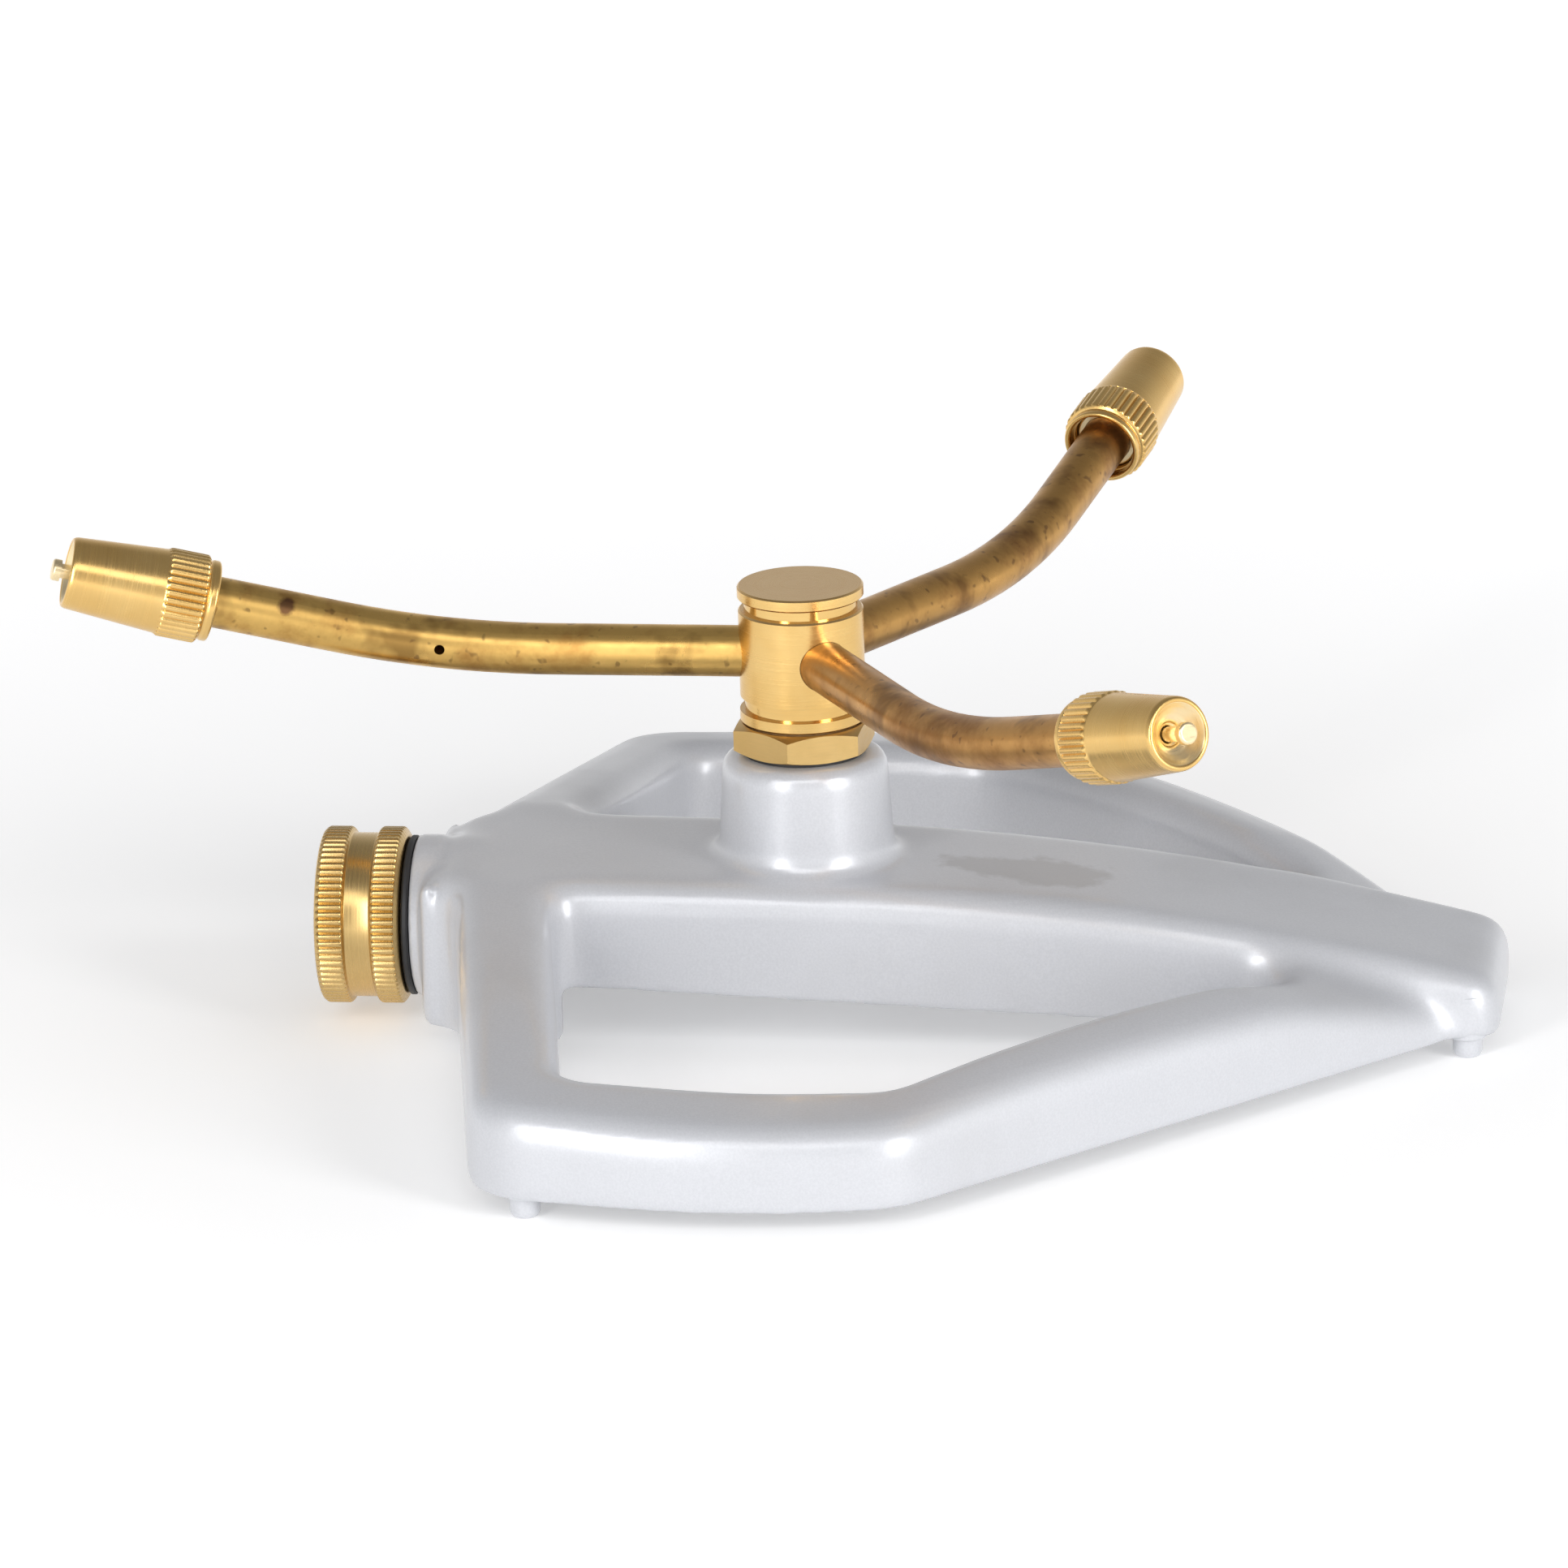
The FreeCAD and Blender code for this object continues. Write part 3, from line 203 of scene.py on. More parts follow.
def silver_paint():
    """Gloss silver-grey paint with a faint orange peel, fine flake and a few dull stains."""
    made = Shader("silver_paint", metallic=0.25, coat_weight=0.35, coat_roughness=0.1)
    flake = made.noise(2600.0, 1.0)
    cloud = made.noise(26.0, 3.0, 0.6)
    fine = made.ramp(flake, [(0.30, (0.56, 0.57, 0.60)), (0.70, (0.60, 0.61, 0.64))])
    stain = made.spread(cloud, 0.0, 0.22, 0.56, 0.74)
    made.colour(made.mix(made.scuffs(), made.mix(stain, fine, STAIN_COLOUR), SCUFF_COLOUR))
    made.roughness(made.spread(cloud, 0.30, 0.42, 0.35, 0.7))
    made.bump([(made.noise(420.0, 2.0), 0.000012), (made.noise(60.0, 2.0), 0.00012)])
    return made.material


def turned_brass(name, axis, light=(0.87, 0.60, 0.24), dark=(0.76, 0.47, 0.15),
                 roughness=(0.20, 0.30), polish_radius_and_end_shade=None, relief=0.000002):
    """Machined brass: fine rings about the turning axis and a slight drift of colour.

    With polished, sides nearer the axis than that are bright, and flat ends are painted browner:
    painted shade for the dim ceiling they reflect.
    """
    made = Shader(name, metallic=1.0)
    radius, rings = made.turning(axis, RINGS_PER_METRE)
    drift = made.noise(70.0, 3.0, 0.6)
    toned = made.ramp(drift, [(0.25, dark), (0.75, light)])
    shade = made.spread(rings, 0.95, 1.02, 0.3, 0.7)
    rough = made.spread(rings, *roughness, 0.3, 0.7)
    if polish_radius_and_end_shade:
        facing = made.parts(made.facing)[axis]
        side = made.math("LESS_THAN", made.math("ABSOLUTE", facing, 0.0), 0.5)
        bright = made.math("MULTIPLY", side, made.math("LESS_THAN", radius, polish_radius_and_end_shade))
        rough = made.math("SUBTRACT", rough, made.math("MULTIPLY", bright, 0.14))
        # Painted shade: faces that look along the turning axis are mixed towards a browner colour.
        flat = made.math("SUBTRACT", 1.0, side)
        toned = made.mix(made.math("MULTIPLY", flat, 0.45), toned, FLAT_END_PAINTED_SHADE)
    made.colour(made.mix(1.0, toned, shade, "MULTIPLY"))
    made.roughness(rough)
    made.bump([(rings, relief)])
    return made.material


def tarnished_tube(name, light, dark, marks):
    """Drawn brass tube gone brown: patches, worn bright spots, specks and near-black marks."""
    made = Shader(name, metallic=1.0)
    mottle = made.noise(62.0, 5.0, 0.66)
    wear = made.noise(95.0, 3.0, 0.6, made.stretched((1.0, 1.3, 0.8)))
    pale = tuple(v * 1.18 for v in light)
    toned = made.ramp(mottle, [(0.34, dark), (0.50, light), (0.68, pale)])
    brown = made.spread(wear, 0.0, 0.75, 0.53, 0.68)
    patched = made.mix(brown, toned, tuple(v * 0.62 for v in dark))
    specks = made.spread(made.noise(520.0, 1.0), 0.0, 0.55, 0.66, 0.74)
    speckled = made.mix(specks, patched, SPECK_COLOUR)
    for spot, radius in marks:
        apart = made.nodes.new("ShaderNodeVectorMath")
        apart.operation = "DISTANCE"
        apart.inputs[1].default_value = spot
        made.join(made.place, apart.inputs[0])
        wander = made.spread(mottle, -0.0012, 0.0012, 0.3, 0.7)
        rough_edge = made.math("ADD", apart.outputs["Value"], wander)
        mark = made.spread(rough_edge, 0.85, 0.0, radius * 0.5, radius)
        speckled = made.mix(mark, speckled, MARK_COLOUR)
    made.colour(speckled)
    made.roughness(made.spread(mottle, 0.42, 0.24, 0.34, 0.66))
    made.bump([(made.noise(900.0, 2.0, 0.6), 0.00001), (made.noise(140.0, 2.0), 0.00007)])
    return made.material


def plain_detail(name, first, second, scale, roughness, depth, **values):
    """A soft or moulded finish: two close tones, varied roughness and a fine skin."""
    made = Shader(name, **values)
    tone = made.noise(scale, 3.0, 0.6)
    made.colour(made.ramp(tone, [(0.3, first), (0.7, second)]))
    made.roughness(made.spread(tone, roughness - 0.08, roughness + 0.08, 0.3, 0.7))
    made.bump([(made.noise(scale * 4, 2.0), depth)])
    return made.material


# Where the two near-black marks sit on the second tube, with their radii.
TUBE_MARKS = [((-0.0888, -0.0088, 0.0775), 0.0017), ((-0.0800, -0.0085, 0.0735), 0.0009)]
PAINT = silver_paint()
BRASS_Z = turned_brass("turned_brass_z", "Z")
# The hub's flat top and ends carry the browner painted shade.
BRASS_HUB_END_SHADED = turned_brass("hub_brass_painted_end_shade", "Z", polish_radius_and_end_shade=0.0103, relief=0.000006)
# A paler copy of the brass: painted highlight for the bright reflection in the nozzle dishes, also
# used on the stems.
BRASS_PAINTED_HIGHLIGHT = turned_brass(
    "brass_painted_highlight", "Z", (0.98, 0.82, 0.52), (0.92, 0.74, 0.44), (0.26, 0.36))
BRASS_X = turned_brass("turned_brass_x", "X")
BRASS_HEX = turned_brass(
    "milled_brass", "Z", (0.72, 0.50, 0.21), (0.62, 0.41, 0.15), (0.30, 0.42))
BRASS_NUT = turned_brass(
    "nut_brass", "Z", (0.72, 0.51, 0.22), (0.58, 0.39, 0.15), (0.22, 0.32))
TUBES = [
    tarnished_tube("tube_brass_1", (0.50, 0.28, 0.085), (0.30, 0.145, 0.045), []),
    tarnished_tube("tube_brass_2", (0.68, 0.43, 0.13), (0.46, 0.25, 0.07), TUBE_MARKS),
    tarnished_tube("tube_brass_3", (0.52, 0.28, 0.09), (0.34, 0.165, 0.05), []),
]
RUBBER = plain_detail(
    "black_rubber", (0.010, 0.010, 0.011), (0.026, 0.026, 0.028), 300.0, 0.55, 0.00002)
NYLON = plain_detail("white_nylon", (0.74, 0.73, 0.69), (0.82, 0.81, 0.77), 200.0, 0.4, 0.00001)
STEEL = plain_detail(
    "spring_steel", (0.42, 0.42, 0.43), (0.55, 0.55, 0.56), 400.0, 0.3, 0.00001, metallic=1.0)


# ---------------------------------------------------------------------------------------------
# Mesh helpers
# ---------------------------------------------------------------------------------------------
SHARP_ANGLE = 40.0
POINTS_PER_TOOTH = 6


def add_mesh(name, vertices, faces, material, sharp=SHARP_ANGLE):
    """A new smooth-shaded object, with edges sharper than the given angle left sharp."""
    mesh = bpy.data.meshes.new(name)
    mesh.from_pydata(vertices, [], faces)
    mesh.validate()
    mesh.polygons.foreach_set("use_smooth", [True] * len(mesh.polygons))
    mesh.set_sharp_from_angle(angle=math.radians(sharp))
    mesh.materials.append(material)
    thing = bpy.data.objects.new(name, mesh)
    bpy.context.scene.collection.objects.link(thing)
    return thing


def dress(node, material):
    """Give a CAD node its finish."""
    thing = frame["nodes"][node]
    thing.data.materials.clear()
    thing.data.materials.append(material)


def place_on(origin, axis):
    """Frame with its Z along axis."""
    turn = Vector(axis).to_track_quat("Z", "Y")
    return Matrix.Translation(Vector(origin)) @ turn.to_matrix().to_4x4()


def softened(outline, radius, steps=3):
    """A closed outline in (radius, height, knurl) points with each corner rounded off."""
    made = []
    count = len(outline)
    for i in range(count):
        before = Vector(outline[i - 1][:2])
        here = Vector(outline[i][:2])
        after = Vector(outline[(i + 1) % count][:2])
        knurl = outline[i][2]
        if here.x < 1e-6:
            made.append((here.x, here.y, knurl))
            continue
        back = before - here
        on = after - here
        reach = min(radius, back.length * 0.45, on.length * 0.45)
        start = here + back.normalized() * reach
        end = here + on.normalized() * reach
        for k in range(steps + 1):
            share = k / steps
            spot = (1 - share) ** 2 * start + 2 * share * (1 - share) * here + share ** 2 * end
            made.append((max(spot.x, 0.0), spot.y, knurl))
    return made


def lathe(name, outline, place, material, segments=144, teeth=0, depth=0.0, land=0.55,
          rounding=0.15):
    """Turn a closed outline, in mm, about the local Z axis; knurled rows get V grooves."""
    rows = softened([(*p, 0.0) if len(p) == 2 else p for p in outline], rounding)
    segments = teeth * POINTS_PER_TOOTH if teeth else segments
    steps = np.arange(segments)
    angles = steps * 2 * math.pi / segments
    phase = (steps % POINTS_PER_TOOTH) / POINTS_PER_TOOTH if teeth else np.zeros(segments)
    groove = np.clip((np.abs(phase * 2 - 1) - land) / (1 - land), 0, 1)
    vertices = []
    for radius, height, knurl in rows:
        reach = (radius - depth * knurl * groove) * MM
        level = np.full(segments, height * MM)
        vertices.append(np.stack([reach * np.cos(angles), reach * np.sin(angles), level], 1))
    vertices = np.concatenate(vertices)
    faces = []
    count = len(rows)
    for i in range(count):
        j = (i + 1) % count
        if rows[i][0] < 1e-6 and rows[j][0] < 1e-6:
            continue
        for k in range(segments):
            n = (k + 1) % segments
            here, there = i * segments, j * segments
            faces.append((here + k, here + n, there + n, there + k))
    thing = add_mesh(name, vertices.tolist(), faces, material)
    weld(thing)
    thing.matrix_world = place
    return thing


def weld(thing):
    """Join the points that lie on the axis, and face the surface outwards."""
    work = bmesh.new()
    work.from_mesh(thing.data)
    bmesh.ops.remove_doubles(work, verts=work.verts, dist=1e-7)
    bmesh.ops.dissolve_degenerate(work, dist=1e-8, edges=work.edges)
    bmesh.ops.recalc_face_normals(work, faces=work.faces)
    work.to_mesh(thing.data)
    work.free()
    thing.data.set_sharp_from_angle(angle=math.radians(SHARP_ANGLE))


# ---------------------------------------------------------------------------------------------
# Cast base: the CAD casting, with its outside rounded and its corners filled as in a mould
# ---------------------------------------------------------------------------------------------
VOXEL = 0.7 * MM
BAND = 7.0  # cells on each side of a surface that hold true distances
MARGIN = 8  # empty cells round the casting
EDGE_RADIUS = 3.6 * MM
HOLLOW_RADIUS = 3.0 * MM
RIM = 3.3 * MM  # the casting's lower edge stands this far above the floor
RIM_SKIN = 1.2 * MM
RIM_BLEND = 2.0 * MM
WALL_SKIN = 1.3 * MM
BLOCK_FACE = -66.0 * MM
COLLAR_OVERLAP = 2.0 * MM
COLLAR_BLEND = 1.5 * MM
BOSS_TOP_RADIUS = 14.3 * MM
BOSS_ROOT_RADIUS = 15.4 * MM
BOSS_LENGTH = 19.0 * MM
BOSS_ROOT = 4.0 * MM
BOSS_EDGE = 1.5 * MM
BOSS_BLEND = 3.4 * MM
BOSS_ZONE = 18.6 * MM
SPINE_HALF = 22.0 * MM
SPINE_TAPER = 0.01466
SPINE_PLAY = 0.6 * MM
ARCH = dict(start=-42.0 * MM, end=118.5 * MM, height=12.4 * MM, slope=0.0582)
WING_FOOT_SETBACK = 32.2 * MM
WING_FOOT_INSET = 9.6 * MM
TIP_FOOT_SETBACK = 5.6 * MM
TIP_FOOT_OFFSET = 16.6 * MM


class Grid:
    """A box of cells round the casting, each holding its distance to a surface."""

    def __init__(self, low, high):
        self.first = np.floor(np.array(low) / VOXEL).astype(int) - MARGIN
        self.shape = tuple(np.ceil(np.array(high) / VOXEL).astype(int) + MARGIN - self.first)
        axes = [(np.arange(n) + f) * VOXEL for n, f in zip(self.shape, self.first)]
        self.x, self.y, self.z = np.meshgrid(*axes, indexing="ij", sparse=True)
        self.transform = openvdb.createLinearTransform(VOXEL)

    def measure(self, points, triangles, quads):
        """Signed distance to a closed mesh, negative inside."""
        made = openvdb.FloatGrid.createLevelSetFromPolygons(
            points, triangles=triangles, quads=quads, transform=self.transform, halfWidth=BAND)
        values = np.zeros(self.shape, np.float32)
        made.copyToArray(values, ijk=tuple(int(v) for v in self.first))
        return values

    def surface(self, values, level=0.0):
        """Points and quads of the surface where the distance equals level."""
        made = openvdb.FloatGrid(float(BAND * VOXEL))
        made.transform = self.transform
        made.copyFromArray(values, ijk=tuple(int(v) for v in self.first))
        return made.convertToQuads(level)

    def offset(self, values, amount):
        """The solid grown, or with a negative amount shrunk, and measured again."""
        points, quads = self.surface(values, amount)
        return settled(self.measure(points, np.zeros((0, 3), np.uint32), quads), 2)


def settled(values, rounds):
    """The distances averaged with their neighbours, so that edges don't follow the cells."""
    for axis in [0, 1, 2] * rounds:
        along = np.moveaxis(values, axis, 0)
        middle = (along[:-2] + 2 * along[1:-1] + along[2:]) / 4
        along[1:-1] = middle
    return values


def smooth_union(first, second, blend):
    """Distance to two solids joined with a fillet."""
    share = np.clip(blend - np.abs(first - second), 0, None) / blend
    return np.minimum(first, second) - share * share * blend / 4


def smooth_common(first, second, blend):
    """Distance to what two solids share, with its edge rounded."""
    return -smooth_union(-first, -second, blend)


def cast_base():
    """The casting: filled underneath, rounded outside, then hollowed and cut to its rim."""
    source = frame["nodes"]["base_casting"].data
    source.calc_loop_triangles()
    points = np.zeros(len(source.vertices) * 3, np.float32)
    source.vertices.foreach_get("co", points)
    triangles = np.zeros(len(source.loop_triangles) * 3, np.int32)
    source.loop_triangles.foreach_get("vertices", triangles)
    low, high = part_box("base_casting")
    grid = Grid(low, high)
    triangles = triangles.reshape(-1, 3).astype(np.uint32)
    cad = grid.measure(points.reshape(-1, 3), triangles, np.zeros((0, 4), np.uint32))

    covered = np.maximum.accumulate((cad < 0)[:, :, ::-1], axis=2)[:, :, ::-1]
    covered &= grid.x > BLOCK_FACE
    filled = np.where(covered & (cad > 0), -VOXEL, cad)
    filled = np.where(grid.x > BLOCK_FACE, filled, np.maximum(cad, VOXEL))
    rim_layer = int(np.searchsorted(grid.z.ravel(), RIM + RIM_SKIN))
    filled[:, :, 2:rim_layer] = filled[:, :, rim_layer:rim_layer + 1]
    filled[:, :, :2] = BAND * VOXEL
    filled = grid.offset(without_boss(grid, filled, cad), 0.0)

    soft = grid.offset(grid.offset(filled, -EDGE_RADIUS), EDGE_RADIUS)
    soft = grid.offset(grid.offset(soft, HOLLOW_RADIUS), -HOLLOW_RADIUS)
    soft = smooth_union(soft, boss(grid, high.z), BOSS_BLEND)
    collar = np.maximum(cad, grid.x - (BLOCK_FACE + COLLAR_OVERLAP))
    soft = smooth_union(soft, collar, COLLAR_BLEND)

    hollow = covered & (soft < -WALL_SKIN)
    solid = np.where(hollow, np.maximum(soft, cad), soft)
    solid = smooth_common(solid, -arch(grid), RIM_BLEND)
    solid = smooth_common(solid, RIM - grid.z, RIM_BLEND)
    solid = settled(solid, 1)
    points, quads = grid.surface(solid.astype(np.float32))
    thing = add_mesh("cast_base", points.tolist(), quads[:, ::-1].tolist(), PAINT, 60.0)
    smooth = thing.modifiers.new("settle", "LAPLACIANSMOOTH")
    smooth.iterations = 2
    smooth.lambda_factor = 0.25
    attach(thing, "base")
    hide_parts("base_casting")


def feet():
    """Four turned feet under the rim, each on its post inside the casting."""
    low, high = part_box("base_casting")
    spots = [
        (low.x + WING_FOOT_SETBACK, high.y - WING_FOOT_INSET),
        (high.x - TIP_FOOT_SETBACK, TIP_FOOT_OFFSET),
    ]
    outline = [
        (0.0, 0.0), (1.5, 0.0), (2.2, 0.25), (2.6, 1.1), (2.6, 3.6), (3.35, 3.6), (3.35, 11.35),
        (0.0, 11.35),
    ]
    for number, (x, y) in enumerate(spots):
        for side in (-1, 1):
            name = "foot_%d_%s" % (number + 1, "near" if side < 0 else "far")
            place = Matrix.Translation((x, side * y, 0))
            foot = lathe(name, outline, place, PAINT, segments=48, rounding=0.3)
            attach(foot, "base")


def without_boss(grid, filled, cad):
    """The filled casting with the deck carried on level under the boss."""
    top = top_heights(grid, cad)
    middle = int(np.argmin(np.abs(grid.y.ravel())))
    ends = [int(np.argmin(np.abs(grid.x.ravel() - side * BOSS_ZONE))) for side in (-1, 1)]
    heights = [top[end, middle] for end in ends]
    deck = np.interp(grid.x.ravel(), [-BOSS_ZONE, BOSS_ZONE], heights)[:, None, None]
    zone = (grid.x ** 2 + grid.y ** 2 < BOSS_ZONE ** 2) & (grid.z > heights[1] - BOSS_ROOT)
    return np.where(zone, grid.z - deck, filled)


def top_heights(grid, cad):
    """Height of the upper surface over each cell of the plan."""
    inside = cad < 0
    highest = inside.shape[2] - 1 - np.argmax(inside[:, :, ::-1], axis=2)
    rows = np.arange(cad.shape[0])[:, None]
    columns = np.arange(cad.shape[1])[None, :]
    below = cad[rows, columns, highest]
    above = cad[rows, columns, np.minimum(highest + 1, cad.shape[2] - 1)]
    return grid.z.ravel()[highest] + VOXEL * below / (below - above + 1e-12)


def boss(grid, top):
    """Distance to the tapered boss, rounded at its upper edge."""
    foot = top - BOSS_LENGTH
    taper = (BOSS_ROOT_RADIUS - BOSS_TOP_RADIUS) / (top - foot)
    side = np.sqrt(grid.x ** 2 + grid.y ** 2) - (BOSS_TOP_RADIUS + taper * (top - grid.z))
    upper = smooth_common(side, grid.z - top, 2 * BOSS_EDGE)
    return np.maximum(upper, foot - BOSS_ROOT - grid.z)


def arch(grid):
    """Distance to the room cut under the spine, negative inside it."""
    half = SPINE_HALF - grid.x * SPINE_TAPER + SPINE_PLAY
    roof = ARCH["height"] - (grid.x - ARCH["start"]) * ARCH["slope"]
    across = np.maximum(np.abs(grid.y) - half, grid.z - roof)
    return np.maximum(across, np.maximum(ARCH["start"] - grid.x, grid.x - ARCH["end"]))


# ---------------------------------------------------------------------------------------------
# Nozzles and hose nut: outlines are (radius, height, share of the knurl's depth) in mm
# ---------------------------------------------------------------------------------------------
DISH_START = 22 * MM
DISH_RADIUS = 5.3 * MM
THREAD_CREST = 12.15
THREAD_ROOT = 13.05
THREAD_MOUTH = 13.55
THREAD_STEP = 1.1


def nozzle_cap(number):
    """Nozzle cap with a knurled ring, a lipped back and a dished tip."""
    joint = [j for j in frame["joints"] if j["name"] == "nozzle_%d_turn" % number][0]
    outline = [
        (5.75, 1.6), (6.15, 0.25), (6.5, 0.0), (6.85, 0.0), (7.1, 0.3), (7.1, 1.2), (6.95, 1.45),
        (6.95, 1.75), (7.35, 1.9), (7.8, 2.3, 1.0), (7.8, 8.7, 1.0), (7.5, 9.2, 0.3), (7.42, 9.5),
        (6.3, 25.3), (6.05, 25.95), (5.6, 26.1), (5.2, 25.85), (4.4, 24.9), (3.4, 24.1),
        (2.4, 23.6), (2.1, 23.3), (2.0, 22.9), (1.45, 22.7), (1.45, 22.0), (5.7, 18.0),
        (5.7, 11.6), (6.7, 11.6), (6.7, 10.4), (5.7, 10.4),
    ]
    place = place_on(joint["pos_m"], joint["axis"])
    thing = lathe("nozzle_shell_%d" % number, outline, place, BRASS_Z,
                  teeth=34, depth=0.40, land=0.42, rounding=0.25)
    # The dish faces take the paler brass, a painted highlight.
    thing.data.materials.append(BRASS_PAINTED_HIGHLIGHT)
    for face in thing.data.polygons:
        middle = face.center
        if middle.z > DISH_START and math.hypot(middle.x, middle.y) < DISH_RADIUS:
            face.material_index = 1
    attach(thing, "nozzle_%d" % number)
    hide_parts("nozzle_cap_%d" % number)


def swivel_nut():
    """Hose nut with two knurled bands, a polished waist and ridges for the thread."""
    low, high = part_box("swivel_nut")
    start = place_on((high.x, 0, (low.z + high.z) / 2), (-1, 0, 0))
    thread = [(THREAD_ROOT if step % 2 else THREAD_CREST, THREAD_MOUTH - THREAD_STEP * step)
              for step in range(5)]
    outline = [
        (9.25, 0.0), (13.6, 0.0), (14.1, 0.12), (15.1, 0.75, 0.2), (15.5, 1.1, 1.0),
        (15.5, 4.6, 1.0), (15.2, 5.0, 0.5), (14.4, 5.3), (14.4, 9.7), (15.2, 10.0, 0.5),
        (15.5, 10.4, 1.0), (15.5, 14.1, 1.0), (15.0, 14.75, 0.3), (14.4, 15.0), (13.6, 15.0),
        *thread, (13.1, 8.05), (13.1, 2.7), (9.25, 2.7),
    ]
    thing = lathe("hose_nut", outline, start, BRASS_NUT,
                  teeth=72, depth=0.42, land=0.42, rounding=0.2)
    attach(thing, "hose_nut")
    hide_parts("swivel_nut")


# ---------------------------------------------------------------------------------------------
# Camera, light and floor
# ---------------------------------------------------------------------------------------------
CAMERA_AZIMUTH = 6.8
CAMERA_ELEVATION = 16.5
CAMERA_ROLL = 1.63
CAMERA_DISTANCE = 2.101
FRAME_PIXELS = 1932
FOCAL_PIXELS = 14934
SHIFT_PIXELS = (19.5, 247.1)
SENSOR_WIDTH = 36.0
FLOOR_REACH = 6.0


def camera():
    """Long lens a little right of the base's side, tipped down and slightly rolled."""
    target = Vector((0, 0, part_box("hub_cap")[1].z))
    angles = (CAMERA_AZIMUTH, CAMERA_ELEVATION, CAMERA_ROLL)
    turn, rise, roll = (math.radians(angle) for angle in angles)
    focal = FOCAL_PIXELS / FRAME_PIXELS
    shift = Vector(SHIFT_PIXELS) / FOCAL_PIXELS
    back = Vector((math.sin(turn) * math.cos(rise), -math.cos(turn) * math.cos(rise), math.sin(rise)))
    ahead = -back
    right = ahead.cross(Vector((0, 0, 1))).normalized()
    up = right.cross(ahead)
    rolled_up = up * math.cos(roll) + right * math.sin(roll)
    rolled_right = right * math.cos(roll) - up * math.sin(roll)
    ahead = (ahead - rolled_right * shift.x - rolled_up * shift.y).normalized()
    rolled_right = ahead.cross(rolled_up).normalized()
    rolled_up = rolled_right.cross(ahead)
    lens = bpy.data.cameras.new("camera")
    lens.sensor_width = SENSOR_WIDTH
    lens.lens = SENSOR_WIDTH * focal
    lens.clip_end = 20.0
    thing = bpy.data.objects.new("camera", lens)
    bpy.context.scene.collection.objects.link(thing)
    turned = Matrix((rolled_right, rolled_up, -ahead)).transposed().to_4x4()
    thing.matrix_world = Matrix.Translation(target + back * CAMERA_DISTANCE) @ turned
    bpy.context.scene.camera = thing


def softbox(name, azimuth, elevation, distance, size, power):
    """An area light aimed at the middle of the sprinkler."""
    middle = (CAD_BOX[0] + CAD_BOX[1]) / 2
    a, e = math.radians(azimuth), math.radians(elevation)
    back = Vector((math.sin(a) * math.cos(e), -math.cos(a) * math.cos(e), math.sin(e)))
    light = bpy.data.lights.new(name, "AREA")
    light.shape = "RECTANGLE"
    light.size, light.size_y = size
    light.energy = power
    thing = bpy.data.objects.new(name, light)
    bpy.context.scene.collection.objects.link(thing)
    thing.location = middle + back * distance
    thing.rotation_mode = "QUATERNION"
    thing.rotation_quaternion = (-back).to_track_quat("-Z", "Y")


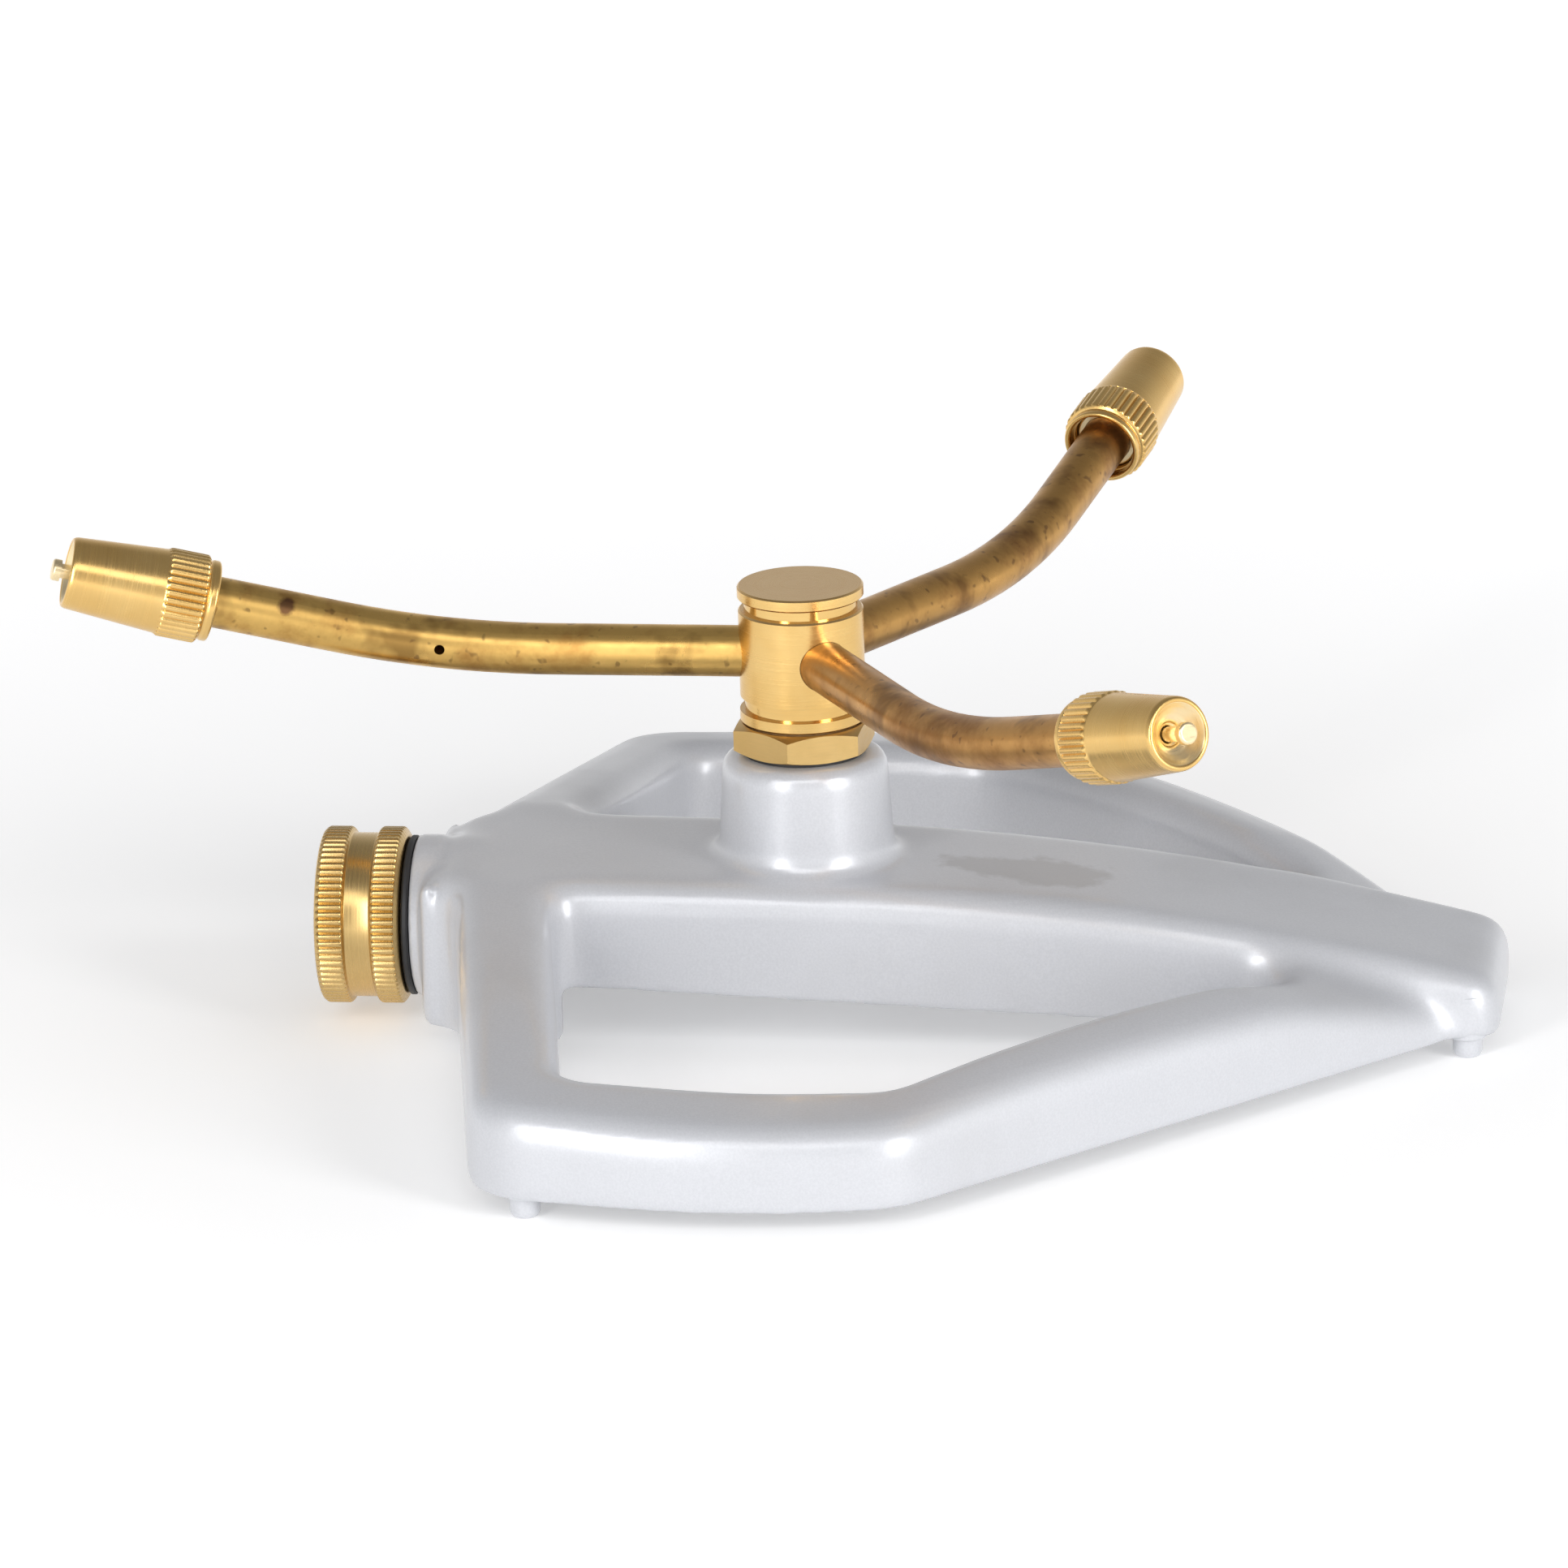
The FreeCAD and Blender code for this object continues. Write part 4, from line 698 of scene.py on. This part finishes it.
def surroundings():
    """White floor that glows less near the middle, white horizon and a dimmer ceiling."""
    world = bpy.data.worlds.new("studio")
    bpy.context.scene.world = world
    world.use_nodes = True
    nodes, links = world.node_tree.nodes, world.node_tree.links
    place = nodes.new("ShaderNodeTexCoord")
    split = nodes.new("ShaderNodeSeparateXYZ")
    ramp = nodes.new("ShaderNodeValToRGB")
    ramp.color_ramp.elements[0].position = 0.05
    ramp.color_ramp.elements[0].color = (1.0, 1.0, 1.0, 1.0)
    ramp.color_ramp.elements[1].position = 0.75
    ramp.color_ramp.elements[1].color = (0.34, 0.34, 0.35, 1.0)
    links.new(place.outputs["Generated"], split.inputs[0])
    links.new(split.outputs["Z"], ramp.inputs["Fac"])
    links.new(ramp.outputs["Color"], nodes["Background"].inputs["Color"])
    nodes["Background"].inputs["Strength"].default_value = 0.82

    white = bpy.data.materials.new("white_floor")
    white.use_nodes = True
    nodes, links = white.node_tree.nodes, white.node_tree.links
    surface = nodes["Principled BSDF"]
    surface.inputs["Base Color"].default_value = (0.9, 0.9, 0.9, 1.0)
    surface.inputs["Roughness"].default_value = 0.9
    surface.inputs["Specular IOR Level"].default_value = 0.0
    surface.inputs["Emission Color"].default_value = (1.0, 1.0, 1.0, 1.0)
    place = nodes.new("ShaderNodeTexCoord")
    distance = nodes.new("ShaderNodeVectorMath")
    distance.operation = "LENGTH"
    glow = nodes.new("ShaderNodeMapRange")
    for key, value in (("From Min", 0.1), ("From Max", 0.6), ("To Min", 0.30), ("To Max", 0.66)):
        glow.inputs[key].default_value = value
    links.new(place.outputs["Object"], distance.inputs[0])
    links.new(distance.outputs["Value"], glow.inputs["Value"])
    links.new(glow.outputs["Result"], surface.inputs["Emission Strength"])
    sides = ((-1, -1), (1, -1), (1, 1), (-1, 1))
    corners = [(x * FLOOR_REACH, y * FLOOR_REACH, 0) for x, y in sides]
    floor = add_mesh("floor", corners, [(0, 1, 2, 3)], white)


FINISHES = {
    "inlet_tailpiece": BRASS_X,
    "inlet_washer": RUBBER,
    "hose_washer": RUBBER,
    "spindle": BRASS_HEX,
    "spindle_seal": RUBBER,
    "lower_thrust_washer": NYLON,
    "spindle_oring": RUBBER,
    "upper_thrust_washer": NYLON,
    "retaining_clip": STEEL,
    # The rotor hub and cap carry the browner painted shade on their flat ends.
    "rotor_hub": BRASS_HUB_END_SHADED,
    "hub_cap": BRASS_HUB_END_SHADED,
}
for node, finish in FINISHES.items():
    dress(node, finish)
for number in (1, 2, 3):
    dress("arm_tube_%d" % number, TUBES[number - 1])
    # The stems share the paler brass of the painted highlight.
    dress("nozzle_stem_%d" % number, BRASS_PAINTED_HIGHLIGHT)
    dress("nozzle_oring_%d" % number, RUBBER)
    nozzle_cap(number)
swivel_nut()
cast_base()
feet()
camera()
surroundings()
softbox("left_box", -26.0, 14.0, 1.7, (0.34, 1.2), 12.5)
softbox("right_box", 52.0, 14.0, 1.7, (0.5, 1.2), 16.0)
softbox("front_box", 4.0, 40.0, 1.9, (1.3, 0.6), 5.0)
bpy.context.scene.view_settings.view_transform = "Standard"
